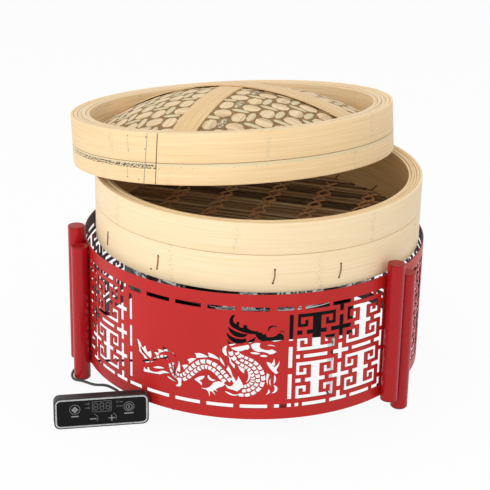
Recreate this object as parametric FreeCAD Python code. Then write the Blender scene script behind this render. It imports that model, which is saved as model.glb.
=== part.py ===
# Dim sum station: a ring of red pierced sheet-steel panels round an induction hob,
# with a steel water pan on the hob and a bamboo steamer with its lid ajar on the pan.
# Millimetres, +Z up, +Y away from the viewer, +X to the right. Everything is drawn about
# the axis of the ring of panels, with the floor at 0 and azimuth 0 at the front, counted to
# the right. At the end all parts move so that the origin is at the bottom centre of the
# whole object's box, the lead left out.
import FreeCAD
import Part
import math
import os

os.makedirs("parts", exist_ok=True)

# Skirt panels
PANEL_RADIUS = 255.0
PANEL_THICKNESS = 1.5
PANEL_HEIGHT = 189.5
PANEL_LIFT = 25.5
PANEL_END_GAP = 2.6
END_MARGIN = 20.0

# Posts, in three pairs
POST_DIAMETER = 25.0
POST_WALL = 1.5
POST_LENGTH = 212.0
HIGH_POST_RISE = 21.5
POST_SPACING = 28.0
POST_GAP = 0.2
FRONT_LEFT_AZIMUTH = -74.8
FRONT_RIGHT_AZIMUTH = 51.1
REAR_AZIMUTH = 168.2
CAP_THICKNESS = 2.0
CAP_PLUG_LENGTH = 5.0
CAP_BEVEL = 0.8
PAD_THICKNESS = 1.5
PAD_DIAMETER = 21.0

# Straps that tie the posts of a pair from inside, and their screws
STRAP_THICKNESS = 2.0
STRAP_HEIGHT = 14.0
STRAP_OVERHANG = 9.0
STRAP_LEVELS = (12.0, 178.0)
SCREW_DIAMETER = 4.0
SCREW_HEAD_DIAMETER = 7.5
SCREW_HEAD_HEIGHT = 2.2
SCREW_HOLE_CLEARANCE = 0.2
SCREW_SEAT_GAP = 0.05
FIT_GAP = 0.2
RUNNING_GAP = 0.3

# Pierced pattern, measured along the panel (s) and up from its bottom edge (z)
BAR_WIDTH = 5.5
DASH_HEIGHT = 6.0
TOP_DASH_LEVEL = 168.2
BOTTOM_DASH_LEVEL = 20.0
FIELD_DASH_LENGTH = 38.3
FIELD_DASH_PITCH = 47.6
END_DASH_LENGTH = 24.2
CELL_SIZE = 56.4
CELL_PITCH = 75.5
CELL_STEM_WIDTH = 13.0
CELL_CROSSBAR_LENGTH = 30.0
CELL_CROSSBAR_HEIGHT = 6.6
HOOK_WIDTH = 4.7
HOOK_DROP = 20.0
HOOK_REACH = 15.2
HOOK_RETURN = 8.0
ROW_PITCH = 73.7
ROW_MIDDLE = 94.2
ROW_BAR_LENGTH = 36.0
GAP_ARM_LENGTH = 28.6
MID_ARM_LENGTH = 33.0
GAP_STEM_HEIGHT = 25.0
MID_STEM_HEIGHT = 37.8
TEE_STEM_LENGTH = 9.5
EDGE_SQUARE_LENGTH = 6.8
SMALL_SQUARE = 4.0
DRAGON_FIELD_MIDDLE = -68.0
DRAGON_FIELD_WIDTH = 248.8
COLUMN_DASH_WIDTH = 5.8
COLUMN_DASH_LEVELS = (49.0, 94.0, 139.0)
COLUMN_DASH_LENGTHS = (39.2, 32.6, 40.0)
LATTICE_MARGIN = 5.2
RIGHT_CELL_MIDDLE = 90.5
LEFT_CELL_MIDDLE = -245.6

# Stand under the hob
HOB_TURN = 13.0
HOB_CENTRE_X = -28.0
HOB_CENTRE_Y = -19.0
RAIL_WIDTH = 20.0
RAIL_THICKNESS = 3.0
RAIL_LENGTH = 286.0
RAIL_OFFSET = 117.0
CROSS_RAIL_OFFSET = 106.0
LEG_WIDTH = 20.0
LEG_THICKNESS = 3.0
LEG_OFFSET = 132.0
STAND_PAD_THICKNESS = 2.0
TAB_WIDTH = 11.0
TAB_THICKNESS = 2.0
TAB_HEIGHT = 24.0
TAB_FOOT = 18.0
TAB_LEVEL = 4.0
TAB_AZIMUTHS = (10.2, 130.2, 250.2)

# Induction hob
HOB_SIDE = 298.0
HOB_HEIGHT = 51.0
HOB_BOTTOM = 102.0
HOB_CORNER_RADIUS = 18.0
HOB_WALL = 2.5
GLASS_THICKNESS = 4.0
GLASS_INSET = 4.0
BEZEL_HEIGHT = 6.0
HOB_FOOT_DIAMETER = 20.0
HOB_FOOT_HEIGHT = 4.0
HOB_FOOT_INSET = 32.0
VENT_COUNT = 14
VENT_WIDTH = 4.0
VENT_HEIGHT = 22.0
VENT_PITCH = 9.0
COIL_OUTER_DIAMETER = 190.0
COIL_INNER_DIAMETER = 50.0
COIL_THICKNESS = 4.0
CARRIER_THICKNESS = 5.0
CARRIER_DIAMETER = 204.0
CARRIER_LEG_RADIUS = 5.0
CARRIER_LEG_INSET = 12.0
CARRIER_LEG_AZIMUTHS = (-60, 60, 180)
COIL_GAP = 1.0
FAN_HOUSING_SIDE = 80.0
FAN_HOUSING_HEIGHT = 20.0
FAN_BORE = 74.0
FAN_ROTOR_DIAMETER = 70.0
FAN_HUB_DIAMETER = 28.0
FAN_BLADE_COUNT = 9
FAN_BLADE_THICKNESS = 1.6
FAN_BLADE_LEAN = 32.0
FAN_SPINDLE_RADIUS = 2.0
FAN_BRIDGE_WIDTH = 8.0
FAN_BRIDGE_THICKNESS = 2.0
FAN_FLOOR_GAP = 2.0
SHAFT_GAP = 0.05
FAN_X = 72.0
FAN_Y = 88.0
BOARD_LENGTH = 120.0
BOARD_WIDTH = 82.0
BOARD_THICKNESS = 1.6
BOARD_STANDOFF = 5.0
BOARD_X = -69.5
BOARD_Y = 80.5
PEG_RADIUS = 3.0
PEG_INSET = 6.0
SINK_LENGTH = 70.0
SINK_WIDTH = 36.0
SINK_HEIGHT = 14.0
SINK_FINS = 8
SINK_FIN = 2.0
SINK_PLATE = 3.0
INLET_WIDTH = 27.0
INLET_HEIGHT = 20.0
INLET_DEPTH = 16.0
INLET_WALL = 2.0
INLET_X = 98.0
INLET_LIFT = 4.0
INLET_PINS = ((-7.0, -1.5), (0.0, 2.5), (7.0, -1.5))
PIN_WIDTH = 2.0
BASE_SCREW_INSET = 14.0

# Water pan
PAN_RIM_RADIUS = 191.0
PAN_BASE_RADIUS = 184.0
PAN_WALL = 1.0
PAN_RIM_HEIGHT = 225.5
PAN_BEAD_RADIUS = 2.4
PAN_CORNER_RADIUS = 10.0

# Bamboo steamer base
STEAMER_X = 5.0
STEAMER_Y = -5.0
STEAMER_RADIUS = 242.0
STEAMER_HEIGHT = 100.0
STEAMER_BOTTOM = 215.0
STEAMER_SEAM = 55.0
BAND_THICKNESS = 4.0
PLY_THICKNESS = 3.8
PLY_GAP = 0.3
PLY_COUNT = 4
SEAM_GAP = 0.5
BATTEN_WIDTH = 14.0
BATTEN_HEIGHT = 6.0
BATTEN_PITCH = 71.0
BATTEN_SHIFT = -4.5
BATTEN_COUNT = 5
SLAT_WIDTH = 21.5
SLAT_PITCH = 27.0
SLAT_THICKNESS = 3.0
SLAT_TURN = -17.0
TIE_DIAMETER = 1.6
TIE_REACH = 5.0
STITCH_AZIMUTHS = (-62.4, -34.8, 5.2, 27.8)
STITCH_BOTTOM = 229.0
STITCH_HEIGHT = 20.0
STITCH_WIDTH = 1.4
STITCH_DEPTH = 0.8

# Lid, in its own frame (its bottom edge at height 0), and where it lies
LID_X = -33.0
LID_Y = 54.7
LID_Z = 317.7
LID_TILT_X = -7.03
LID_TILT_Y = -3.61
LID_RADIUS = 242.0
LID_HEIGHT = 72.5
LID_SEAM = 30.0
LID_CORE_THICKNESS = 5.6
LID_PLY_THICKNESS = 5.9
LID_PLY_COUNT = 3
LID_PLY_BOTTOM = 12.0
WEAVE_RING_HEIGHT = 18.0
WEAVE_RING_THICKNESS = 5.0
WEAVE_RING_LEVEL = 21.3
DOME_THICKNESS = 3.0
DOME_CROWN = 99.0
STRAP_A_WIDTH = 38.0
STRAP_B_WIDTH = 44.0
STRAP_A_TURN = 66.2
STRAP_A_SHIFT = -5.0
STRAP_B_TURN = -27.5
STRAP_B_SHIFT = 14.0
STRAP_SHEET = 1.6

# Control box and its lead
BOX_X = -276.2
BOX_Y = -250.6
BOX_TURN = 10.9
BOX_LENGTH = 134.0
BOX_HEIGHT = 47.5
BOX_DEPTH = 19.0
BOX_CORNER_RADIUS = 9.0
BOX_BACK_ROUNDING = 7.0
BOX_WALL = 2.0
BOX_SPLIT = 11.0
FACE_INSET = 3.0
FACE_THICKNESS = 0.8
DISPLAY_X = 67.3
DISPLAY_Z = 32.2
DISPLAY_WIDTH = 26.0
DISPLAY_HEIGHT = 15.0
ROUND_KEY_DIAMETER = 12.6
BAR_KEY_DIAMETER = 10.4
KEY_PROUD = 0.8
KEY_TRAVEL = 0.6
KEY_FLANGE = 1.2
MENU_KEY = (29.4, 29.7)
MINUS_KEY = (55.6, 13.6)
PLUS_KEY = (81.1, 13.4)
POWER_KEY = (105.8, 29.3)
BOX_BOARD_LENGTH = 96.0
BOX_BOARD_THICKNESS = 1.6
BOX_BOARD_DEPTH = 5.6
BOX_SCREW_INSET = 11.0
BOX_SCREW_DIAMETER = 2.6
BOX_SCREW_HEAD = 5.0
BOX_SCREW_HEAD_HEIGHT = 1.5
BOX_BOSS_RADIUS = 3.6
BOX_POST_INSET = 7.0
BOX_BOARD_INSET = 5.0
LEAD_DIAMETER = 4.0
GLAND_DIAMETER = 9.0
GLAND_TIP_DIAMETER = 6.0
GLAND_LENGTH = 12.0
BOX_GLAND = (96.0, 34.0)
BOX_GLAND_DIAMETER = 7.0
BOX_GLAND_TIP_DIAMETER = 5.2
BOX_GLAND_LENGTH = 5.0
LEAD_ROUTE = (
    (-96.0, -20.0, 90.0),
    (-96.0, -20.0, 70.0),
    (-98.0, -20.5, 44.0),
    (-108.0, -22.0, 20.0),
    (-130.0, -24.0, 4.5),
    (-160.0, -27.0, 2.1),
    (-200.0, -29.0, 2.1),
    (-236.0, -31.0, 2.1),
    (-257.0, -39.0, 2.1),
    (-268.0, -58.0, 2.1),
    (-271.5, -80.0, 2.1),
    (-266.0, -100.0, 3.5),
    (-250.0, -120.0, 12.0),
    (-230.0, -150.0, 20.5),
    (-211.0, -172.0, 32.5),
    (-199.0, -184.0, 33.5),
    (-188.95, -196.01, 34.0),
    (-186.49, -208.78, 34.0),
)

UP = FreeCAD.Vector(0, 0, 1)
ORIGIN = FreeCAD.Vector(0, 0, 0)


PARTS = {}


def save(name, shape):
    PARTS[name] = shape


def polar(radius, azimuth, z):
    angle = math.radians(azimuth)
    return FreeCAD.Vector(radius * math.sin(angle), -radius * math.cos(angle), z)


def turned(shape, azimuth):
    copy = shape.copy()
    copy.rotate(ORIGIN, UP, azimuth)
    return copy


def moved(shape, x, y, z=0.0):
    copy = shape.copy()
    copy.translate(FreeCAD.Vector(x, y, z))
    return copy


def box(x0, x1, y0, y1, z0, z1):
    return Part.makeBox(x1 - x0, y1 - y0, z1 - z0, FreeCAD.Vector(x0, y0, z0))


def cylinder(radius, z0, z1, x=0.0, y=0.0):
    return Part.makeCylinder(radius, z1 - z0, FreeCAD.Vector(x, y, z0))


def ring(outer, inner, z0, z1):
    return cylinder(outer, z0, z1).cut(cylinder(inner, z0 - 1, z1 + 1))


def sector(outer, inner, z0, z1, start, end):
    wedge = Part.makeCylinder(outer, z1 - z0, FreeCAD.Vector(0, 0, z0), UP, end - start)
    return turned(wedge.cut(cylinder(inner, z0 - 1, z1 + 1)), start - 90)


def group(solids):
    return Part.makeCompound(solids)


def rounded_box(length, width, z0, z1, radius):
    block = box(-length / 2, length / 2, -width / 2, width / 2, z0, z1)
    upright = [e for e in block.Edges if abs(e.BoundBox.ZLength - (z1 - z0)) < 1e-6]
    return block.makeFillet(radius, upright)


# Flat cut-outs of the pattern, drawn in the XZ plane about their own middle
def flat_rectangle(x, z, width, height):
    corner = FreeCAD.Vector(x - width / 2, 0, z - height / 2)
    plane = Part.makePlane(width, height, corner, FreeCAD.Vector(0, -1, 0), FreeCAD.Vector(1, 0, 0))
    return plane


def joined(faces):
    return faces[0].fuse(faces[1:]).removeSplitter() if len(faces) > 1 else faces[0]


def cell_face():
    half = CELL_SIZE / 2
    faces = [
        flat_rectangle(0, 0, CELL_STEM_WIDTH, CELL_SIZE),
        flat_rectangle(0, 0, CELL_CROSSBAR_LENGTH, CELL_CROSSBAR_HEIGHT),
    ]
    for up in (1, -1):
        faces.append(flat_rectangle(0, up * (half - BAR_WIDTH / 2), CELL_SIZE, BAR_WIDTH))
        for side in (1, -1):
            hook_x = side * (half - HOOK_WIDTH / 2)
            foot_z = up * (half - HOOK_DROP + HOOK_WIDTH / 2)
            return_x = side * (half - HOOK_REACH + HOOK_WIDTH / 2)
            return_z = up * (half - HOOK_DROP + HOOK_WIDTH / 2 + HOOK_RETURN / 2)
            faces.append(flat_rectangle(hook_x, up * (half - HOOK_DROP / 2), HOOK_WIDTH, HOOK_DROP))
            faces.append(flat_rectangle(side * (half - HOOK_REACH / 2), foot_z, HOOK_REACH, HOOK_WIDTH))
            faces.append(flat_rectangle(return_x, return_z, HOOK_WIDTH, HOOK_RETURN))
    return joined(faces)


def plus_face(arm_length, stem_height):
    return joined([
        flat_rectangle(0, 0, arm_length, CELL_CROSSBAR_HEIGHT),
        flat_rectangle(0, 0, CELL_CROSSBAR_HEIGHT, stem_height),
    ])


def tee_face(direction):
    stem_z = -direction * (DASH_HEIGHT / 2 + TEE_STEM_LENGTH / 2)
    return joined([
        flat_rectangle(0, 0, GAP_ARM_LENGTH, DASH_HEIGHT),
        flat_rectangle(0, stem_z, CELL_CROSSBAR_HEIGHT, TEE_STEM_LENGTH),
    ])


# A flat cut-out becomes a punch that goes through the panel at its place
PUNCH_FRONT = PANEL_RADIUS + 3
PUNCH_DEPTH = 12.0


def punch(face, s, z):
    solid = moved(face, 0, -PUNCH_FRONT, PANEL_LIFT + z).extrude(FreeCAD.Vector(0, PUNCH_DEPTH, 0))
    return turned(solid, math.degrees(s / PANEL_RADIUS))


def clipped(face, s, low, high):
    half = face.BoundBox.XLength / 2
    if s - half >= low and s + half <= high:
        return face
    start = max(low, s - half)
    end = min(high, s + half)
    if end - start < PANEL_THICKNESS:
        return None
    height = face.BoundBox.ZLength + 2
    window = flat_rectangle((start + end) / 2 - s, face.BoundBox.Center.z, end - start, height)
    common = face.common(window)
    return common if common.Area > PANEL_THICKNESS else None


def lattice(low, high, cell_middle):
    """Punches of the fret lattice between two places along the panel."""
    cell = cell_face()
    row_bar = flat_rectangle(0, 0, ROW_BAR_LENGTH, DASH_HEIGHT)
    gap_plus = plus_face(GAP_ARM_LENGTH, GAP_STEM_HEIGHT)
    mid_plus = plus_face(MID_ARM_LENGTH, MID_STEM_HEIGHT)
    rows = (ROW_MIDDLE - ROW_PITCH / 2, ROW_MIDDLE + ROW_PITCH / 2)
    cell_column = [(cell, rows[0]), (cell, rows[1]), (row_bar, ROW_MIDDLE),
                   (row_bar, TOP_DASH_LEVEL), (row_bar, BOTTOM_DASH_LEVEL)]
    gap_column = [(mid_plus, rows[0]), (mid_plus, rows[1]), (gap_plus, ROW_MIDDLE),
                  (tee_face(1), TOP_DASH_LEVEL), (tee_face(-1), BOTTOM_DASH_LEVEL)]
    punches = []
    first = math.floor((low - cell_middle) / CELL_PITCH) - 1
    last = math.ceil((high - cell_middle) / CELL_PITCH) + 1
    for index in range(2 * first, 2 * last + 1):
        s = cell_middle + index * CELL_PITCH / 2
        column = gap_column if index % 2 else cell_column
        for face, z in column:
            part = clipped(face, s, low, high)
            if part is not None:
                punches.append(punch(part, s, z))
    return punches


def lattice_edge(s, side):
    """Small squares down the free edge of a lattice field that starts with a cell."""
    square = flat_rectangle(0, 0, EDGE_SQUARE_LENGTH, CELL_CROSSBAR_HEIGHT)
    small = flat_rectangle(0, 0, SMALL_SQUARE, DASH_HEIGHT)
    middle = s + side * EDGE_SQUARE_LENGTH / 2
    small_middle = s + side * SMALL_SQUARE / 2
    punches = [punch(square, middle, ROW_MIDDLE + up * ROW_PITCH / 2) for up in (-1, 1)]
    for z in (BOTTOM_DASH_LEVEL, ROW_MIDDLE, TOP_DASH_LEVEL):
        punches.append(punch(small, small_middle, z))
    return punches


def dragon_frame():
    """Dashes that frame the dragon's field."""
    dash = flat_rectangle(0, 0, FIELD_DASH_LENGTH, DASH_HEIGHT)
    short = flat_rectangle(0, 0, END_DASH_LENGTH, DASH_HEIGHT)
    punches = []
    for level in (BOTTOM_DASH_LEVEL, TOP_DASH_LEVEL):
        for step in (-1.5, -0.5, 0.5, 1.5):
            punches.append(punch(dash, DRAGON_FIELD_MIDDLE + step * FIELD_DASH_PITCH, level))
        for side in (-1, 1):
            end = DRAGON_FIELD_MIDDLE + side * (DRAGON_FIELD_WIDTH - END_DASH_LENGTH) / 2
            punches.append(punch(short, end, level))
    for side in (-1, 1):
        s = DRAGON_FIELD_MIDDLE + side * (DRAGON_FIELD_WIDTH - COLUMN_DASH_WIDTH) / 2
        for level, length in zip(COLUMN_DASH_LEVELS, COLUMN_DASH_LENGTHS):
            punches.append(punch(flat_rectangle(0, 0, COLUMN_DASH_WIDTH, length), s, level))
    return punches


# The dragon, as cut-outs. Each leaf is an outline of corners joined by arcs: every second
# point is the middle of the arc between its neighbours.
DRAGON_LEAVES = (
    # Horns and brow
    ((-24, 158), (-27, 159), (-30, 156), (-32, 146), (-24, 138), (-12, 133), (2, 131),
     (5, 134), (2, 136), (-4, 138), (-8, 141), (-10, 145), (-13, 141), (-17, 141), (-18, 147),
     (-20, 149), (-22, 145), (-24, 146)),
    # Mane, four locks
    ((-34, 141), (-22, 134), (-6, 131), (-8, 129), (-10, 127), (-26, 128)),
    ((-36, 133), (-26, 125), (-9, 125), (-9, 123), (-7, 121), (-27, 118)),
    ((-36, 123), (-30, 117), (-20, 117), (-26, 113), (-31, 111), (-34, 117)),
    ((-30, 109), (-18, 112), (-6, 115), (-4, 111), (-10, 107), (-20, 104)),
    # Ear
    ((-8, 119), (-2, 123), (4, 127), (3, 122), (0, 118), (-4, 117)),
    # Upper jaw with the brow ridge and nose
    ((6, 137), (9, 134), (13, 135), (15, 131), (18, 133), (19, 129), (20, 127), (27, 127),
     (33, 129), (36, 132), (40, 131), (43, 127), (43, 122), (37, 120), (30, 119),
     (22, 121), (14, 120), (8, 124), (4, 130), (4, 134)),
    # Cheek and lower jaw
    ((-2, 115), (5, 118), (12, 117), (10, 113), (13, 109), (20, 107), (27, 108), (31, 106),
     (34, 104), (30, 101), (24, 100), (18, 103), (12, 104), (3, 106)),
    # Tongue
    ((18, 113), (25, 115), (33, 111), (26, 113)),
    # Beard
    ((-4, 103), (4, 104), (12, 101), (4, 100)),
    ((10, 98), (16, 100), (22, 97), (16, 96)),
    # Whiskers
    ((22, 135), (22, 142), (28, 144), (32, 143), (33, 139), (31, 142), (27, 141.5), (24, 140)),
    ((36, 134), (40, 136), (44, 131), (41, 134)),
    # Fins on the neck
    ((-39, 98), (-41, 107), (-35, 112), (-36, 105), (-34, 97), (-37, 96)),
    ((-8, 76), (-3, 73), (-2, 66), (-4, 60), (-10, 55), (-5, 63), (-5, 70), (-6, 74)),
    # Tail fins
    ((-178, 94), (-171, 90), (-168, 82), (-163, 86), (-162, 90), (-160, 84), (-158, 79),
     (-154, 80), (-153, 84), (-150, 76), (-152, 69), (-160, 73), (-168, 80), (-174, 85)),
    ((-152, 66), (-158, 61), (-167, 62), (-162, 65), (-156, 67), (-154, 67)),
    ((-117, 89), (-111, 86), (-109, 77), (-110, 83), (-114, 86), (-116, 87)),
    # Hind leg at the left, with its claw
    ((-165, 45), (-150, 47), (-136, 49), (-128, 53), (-118, 54), (-126, 57), (-133, 56),
     (-144, 51), (-154, 51), (-156, 55), (-158, 51), (-161, 51), (-163, 54), (-165, 50)),
    ((-126, 51), (-116, 48), (-107, 42), (-114, 44), (-120, 46), (-124, 49)),
    # Thigh
    ((-112, 39), (-104, 38), (-101, 45), (-104, 50), (-110, 49), (-106, 44)),
    # Foreleg in the middle
    ((-37, 52), (-46, 56), (-55, 51), (-60, 45), (-66, 42), (-62, 39), (-57, 38.5), (-51, 42),
     (-46, 46), (-41, 48)),
    ((-38, 42), (-32, 37), (-24, 35), (-18, 37), (-14, 42), (-20, 38), (-28, 39), (-33, 41)),
    # Flames at the elbow
    ((-36, 53), (-30, 50), (-25, 55), (-28, 61), (-27, 67), (-24, 63), (-22, 58), (-20, 61),
     (-19, 67), (-15, 60), (-12, 54), (-15, 47), (-20, 42), (-26, 44), (-31, 45), (-35, 48)),
    ((-82, 53), (-76, 50), (-71, 46), (-70, 50), (-74, 53), (-68, 58), (-66, 62), (-73, 60)),
    ((-62, 60), (-57, 55), (-50, 58), (-56, 59), (-60, 64), (-62, 62)),
    # Raised foreleg at the right
    ((20, 89), (24, 80), (31, 72), (33, 70), (37, 71.5), (32, 79), (27, 85), (24, 88)),
    ((31.5, 69), (34, 62), (31, 54), (31, 62)),
    ((30, 53), (36.5, 47), (27, 40.5), (32.5, 47)),
    # Wisp behind the hind leg
    ((-148, 56), (-140, 61), (-127, 61), (-136, 58)),
)
# Flames, fins and claws: a root, the tip, the other root, and the bend as a share of the length
DRAGON_FLAMES = (
    # Down the back of the neck
    ((-34.5, 98), (-31, 84.5), (-29, 93), 0.08),
    ((-31.5, 91), (-23, 76.5), (-23.5, 83), -0.1),
    ((-19.5, 83), (-10, 70), (-9.5, 77.5), -0.12),
    # Along the middle of the back
    ((-36, 75.5), (-33, 82), (-26, 62.5), -0.06),
    ((-45, 87.5), (-46.5, 95.5), (-37.5, 78.5), -0.1),
    ((-61, 91.5), (-63, 98.5), (-44.5, 88.5), -0.12),
    ((-79, 87), (-82, 94), (-60.5, 91), -0.14),
    ((-89.5, 76), (-92.5, 82), (-78.5, 86.5), -0.12),
    ((-97.5, 65.5), (-101, 71), (-90, 74.5), -0.12),
    ((-109.5, 62), (-105.5, 81), (-103, 60), -0.06),
    # Tail
    ((-174, 74), (-178, 90), (-166, 70), -0.08),
    ((-164, 66), (-176, 76), (-156, 67), -0.12),
    ((-142, 76), (-147, 80), (-136, 82), -0.12),
    ((-138, 82), (-141, 87), (-128, 87), -0.12),
    ((-129.5, 87), (-131.5, 93.5), (-118, 88.5), -0.14),
    # Toes of the foreleg in the middle
    ((-60, 45), (-73.5, 44), (-64, 40.5), 0.12),
    ((-65, 41.5), (-59.5, 30), (-59, 38.5), 0.12),
    ((-60.5, 39.5), (-51, 32), (-55, 41), 0.15),
    ((-56, 41), (-46, 37.5), (-52, 43.5), 0.12),
    # Toes of the raised foreleg
    ((26.5, 85.5), (30, 94), (31, 81), -0.1),
    ((31, 80.5), (38.5, 90.5), (34, 76), -0.08),
    ((21, 72), (23, 52), (25, 69), -0.08),
    ((24.5, 60), (27.5, 51), (28, 67), -0.1),
    ((24, 47.5), (19, 37), (26.5, 42), 0.1),
)
BODY_LINE = ((-27, 106), (-17, 92), (-2, 84), (7, 72), (8, 57), (-2, 46), (-16, 44))
BODY_MIDDLE_LINE = ((-30.5, 54), (-38, 62), (-52, 76), (-66, 80), (-80, 72), (-91, 60), (-100, 53),
                    (-108, 53), (-114, 60), (-117, 74))
BODY_TAIL_LINE = ((-121, 78), (-132, 78), (-143, 72), (-152, 64))
BODY_WIDTHS = (15.0, 20.0, 22.0, 20.0)
MIDDLE_WIDTHS = (15.0, 17.0, 14.0, 11.0)
TAIL_WIDTHS = (8.0, 7.0, 5.0, 3.0)
SCALE_PITCH = 7.0
SCALE_WEB = 1.3
SCALE_ROW = 7.0
SCALE_BOW = 1.6
SCALE_BOW_SHARE = 0.38
LEAST_BOW = 0.15


def bowed_edge(start, middle, end):
    off_line = middle.distanceToLine(start, end - start)
    if off_line < LEAST_BOW:
        return Part.makeLine(start, end)
    return Part.Arc(start, middle, end).toShape()


def leaf_face(points):
    corners = [FreeCAD.Vector(x, 0, z) for x, z in points]
    edges = []
    for index in range(0, len(corners), 2):
        start = corners[index]
        middle = corners[index + 1]
        end = corners[(index + 2) % len(corners)]
        edges.append(bowed_edge(start, middle, end))
    return Part.Face(Part.Wire(edges))


def flame_face(root, tip, other_root, bend):
    corners = [FreeCAD.Vector(x, 0, z) for x, z in (root, tip, other_root)]
    edges = []
    for start, end, way in ((corners[0], corners[1], 1), (corners[1], corners[2], -1)):
        side = end - start
        middle = (start + end) / 2 + FreeCAD.Vector(-side.z, 0, side.x) * (way * bend)
        edges.append(bowed_edge(start, middle, end))
    edges.append(Part.makeLine(corners[2], corners[0]))
    return Part.Face(Part.Wire(edges))


def width_at(widths, share):
    place = share * (len(widths) - 1)
    index = min(int(place), len(widths) - 2)
    return widths[index] + (widths[index + 1] - widths[index]) * (place - index)


def scale_faces(line, widths):
    """Scales along a stretch of the body, in rows across it, each row half a step on."""
    curve = Part.BSplineCurve()
    curve.interpolate([FreeCAD.Vector(x, 0, z) for x, z in line])
    length = curve.length()
    count = max(2, round(length / SCALE_PITCH))

    def place(share, side):
        share = min(max(share, 0.0), 1.0)
        parameter = curve.parameterAtDistance(share * length, curve.FirstParameter)
        tangent = curve.tangent(parameter)[0]
        across = FreeCAD.Vector(-tangent.z, 0, tangent.x)
        return curve.value(parameter) + across * (side * width_at(widths, share) / 2)

    faces = []
    for index in range(count):
        rows = max(1, round(width_at(widths, (index + 0.5) / count) / SCALE_ROW))
        for row in range(rows):
            stagger = 0.5 if row % 2 else 0.0
            start = (index + stagger) / count + SCALE_WEB / 2 / length
            end = (index + 1 + stagger) / count - SCALE_WEB / 2 / length
            if end > 1.0:
                continue
            web = SCALE_WEB / width_at(widths, start)
            low = -1 + 2 * row / rows + web
            high = -1 + 2 * (row + 1) / rows - web
            half_row = width_at(widths, start) / 2 / rows
            bow = min(SCALE_BOW, SCALE_BOW_SHARE * half_row) / length
            corners = [place(start, low), place(start + bow, (low + high) / 2), place(start, high)]
            corners += [place(end, high), place(end + bow, (low + high) / 2), place(end, low)]
            edges = [
                bowed_edge(corners[0], corners[1], corners[2]),
                Part.makeLine(corners[2], corners[3]),
                bowed_edge(corners[3], corners[4], corners[5]),
                Part.makeLine(corners[5], corners[0]),
            ]
            faces.append(Part.Face(Part.Wire(edges)))
    return faces


def dragon():
    faces = [leaf_face(points) for points in DRAGON_LEAVES]
    faces += [flame_face(*flame) for flame in DRAGON_FLAMES]
    faces += scale_faces(BODY_LINE, BODY_WIDTHS)
    faces += scale_faces(BODY_MIDDLE_LINE, MIDDLE_WIDTHS)
    faces += scale_faces(BODY_TAIL_LINE, TAIL_WIDTHS)
    punches = []
    for face in faces:
        s = face.BoundBox.Center.x
        punches.append(punch(moved(face, -s, 0), s, 0))
    return punches


# Panels
PAIR_AZIMUTHS = (FRONT_LEFT_AZIMUTH, FRONT_RIGHT_AZIMUTH, REAR_AZIMUTH, FRONT_LEFT_AZIMUTH + 360)
PANEL_INNER = PANEL_RADIUS - PANEL_THICKNESS
PANEL_TOP = PANEL_LIFT + PANEL_HEIGHT
END_ANGLE = math.degrees(PANEL_END_GAP / 2 / PANEL_RADIUS)
POST_CENTRE_RADIUS = PANEL_RADIUS + POST_GAP + POST_DIAMETER / 2
HALF_POST_ANGLE = math.degrees(POST_SPACING / 2 / POST_CENTRE_RADIUS)
SCREW_HOLE_RADIUS = SCREW_DIAMETER / 2 + SCREW_HOLE_CLEARANCE


def along(azimuth):
    return math.radians(azimuth) * PANEL_RADIUS


def screw_hole(azimuth, level):
    """A round hole through strap, panel and post wall, seen from the ring's axis."""
    depth = PANEL_RADIUS + POST_GAP + POST_WALL + 3
    hole = Part.makeCylinder(SCREW_HOLE_RADIUS, depth, FreeCAD.Vector(0, 0, PANEL_LIFT + level),
                             FreeCAD.Vector(0, -1, 0))
    return turned(hole, azimuth)


def panel(start, end, punches):
    sheet = sector(PANEL_RADIUS, PANEL_INNER, PANEL_LIFT, PANEL_TOP, start + END_ANGLE, end - END_ANGLE)
    holes = []
    for level in STRAP_LEVELS:
        holes.append(screw_hole(start + HALF_POST_ANGLE, level))
        holes.append(screw_hole(end - HALF_POST_ANGLE, level))
    return sheet.cut(punches + holes)


def make_panels():
    end_margin = END_MARGIN + PANEL_END_GAP / 2
    front_low = along(FRONT_LEFT_AZIMUTH) + end_margin
    front_high = along(FRONT_RIGHT_AZIMUTH) - end_margin
    field_left = DRAGON_FIELD_MIDDLE - DRAGON_FIELD_WIDTH / 2 - LATTICE_MARGIN
    field_right = DRAGON_FIELD_MIDDLE + DRAGON_FIELD_WIDTH / 2 + LATTICE_MARGIN
    punches = dragon_frame() + dragon()
    punches += lattice(field_right, front_high, RIGHT_CELL_MIDDLE) + lattice_edge(field_right, 1)
    punches += lattice(front_low, field_left, LEFT_CELL_MIDDLE)
    save("front_panel", panel(PAIR_AZIMUTHS[0], PAIR_AZIMUTHS[1], punches))
    for name, start, end in (("right_panel", PAIR_AZIMUTHS[1], PAIR_AZIMUTHS[2]),
                             ("left_panel", PAIR_AZIMUTHS[2], PAIR_AZIMUTHS[3])):
        low = along(start) + end_margin
        high = along(end) - end_margin
        save(name, panel(start, end, lattice(low, high, (low + high) / 2)))


make_panels()


# Posts with their caps, pads, straps and screws
def post(azimuth, bottom):
    tube = cylinder(POST_DIAMETER / 2, bottom + CAP_THICKNESS, bottom + POST_LENGTH - CAP_THICKNESS)
    tube = tube.cut(cylinder(POST_DIAMETER / 2 - POST_WALL, bottom, bottom + POST_LENGTH))
    centre = polar(POST_CENTRE_RADIUS, azimuth, 0)
    tube = moved(tube, centre.x, centre.y)
    return tube.cut([screw_hole(azimuth, level) for level in STRAP_LEVELS])


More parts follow.
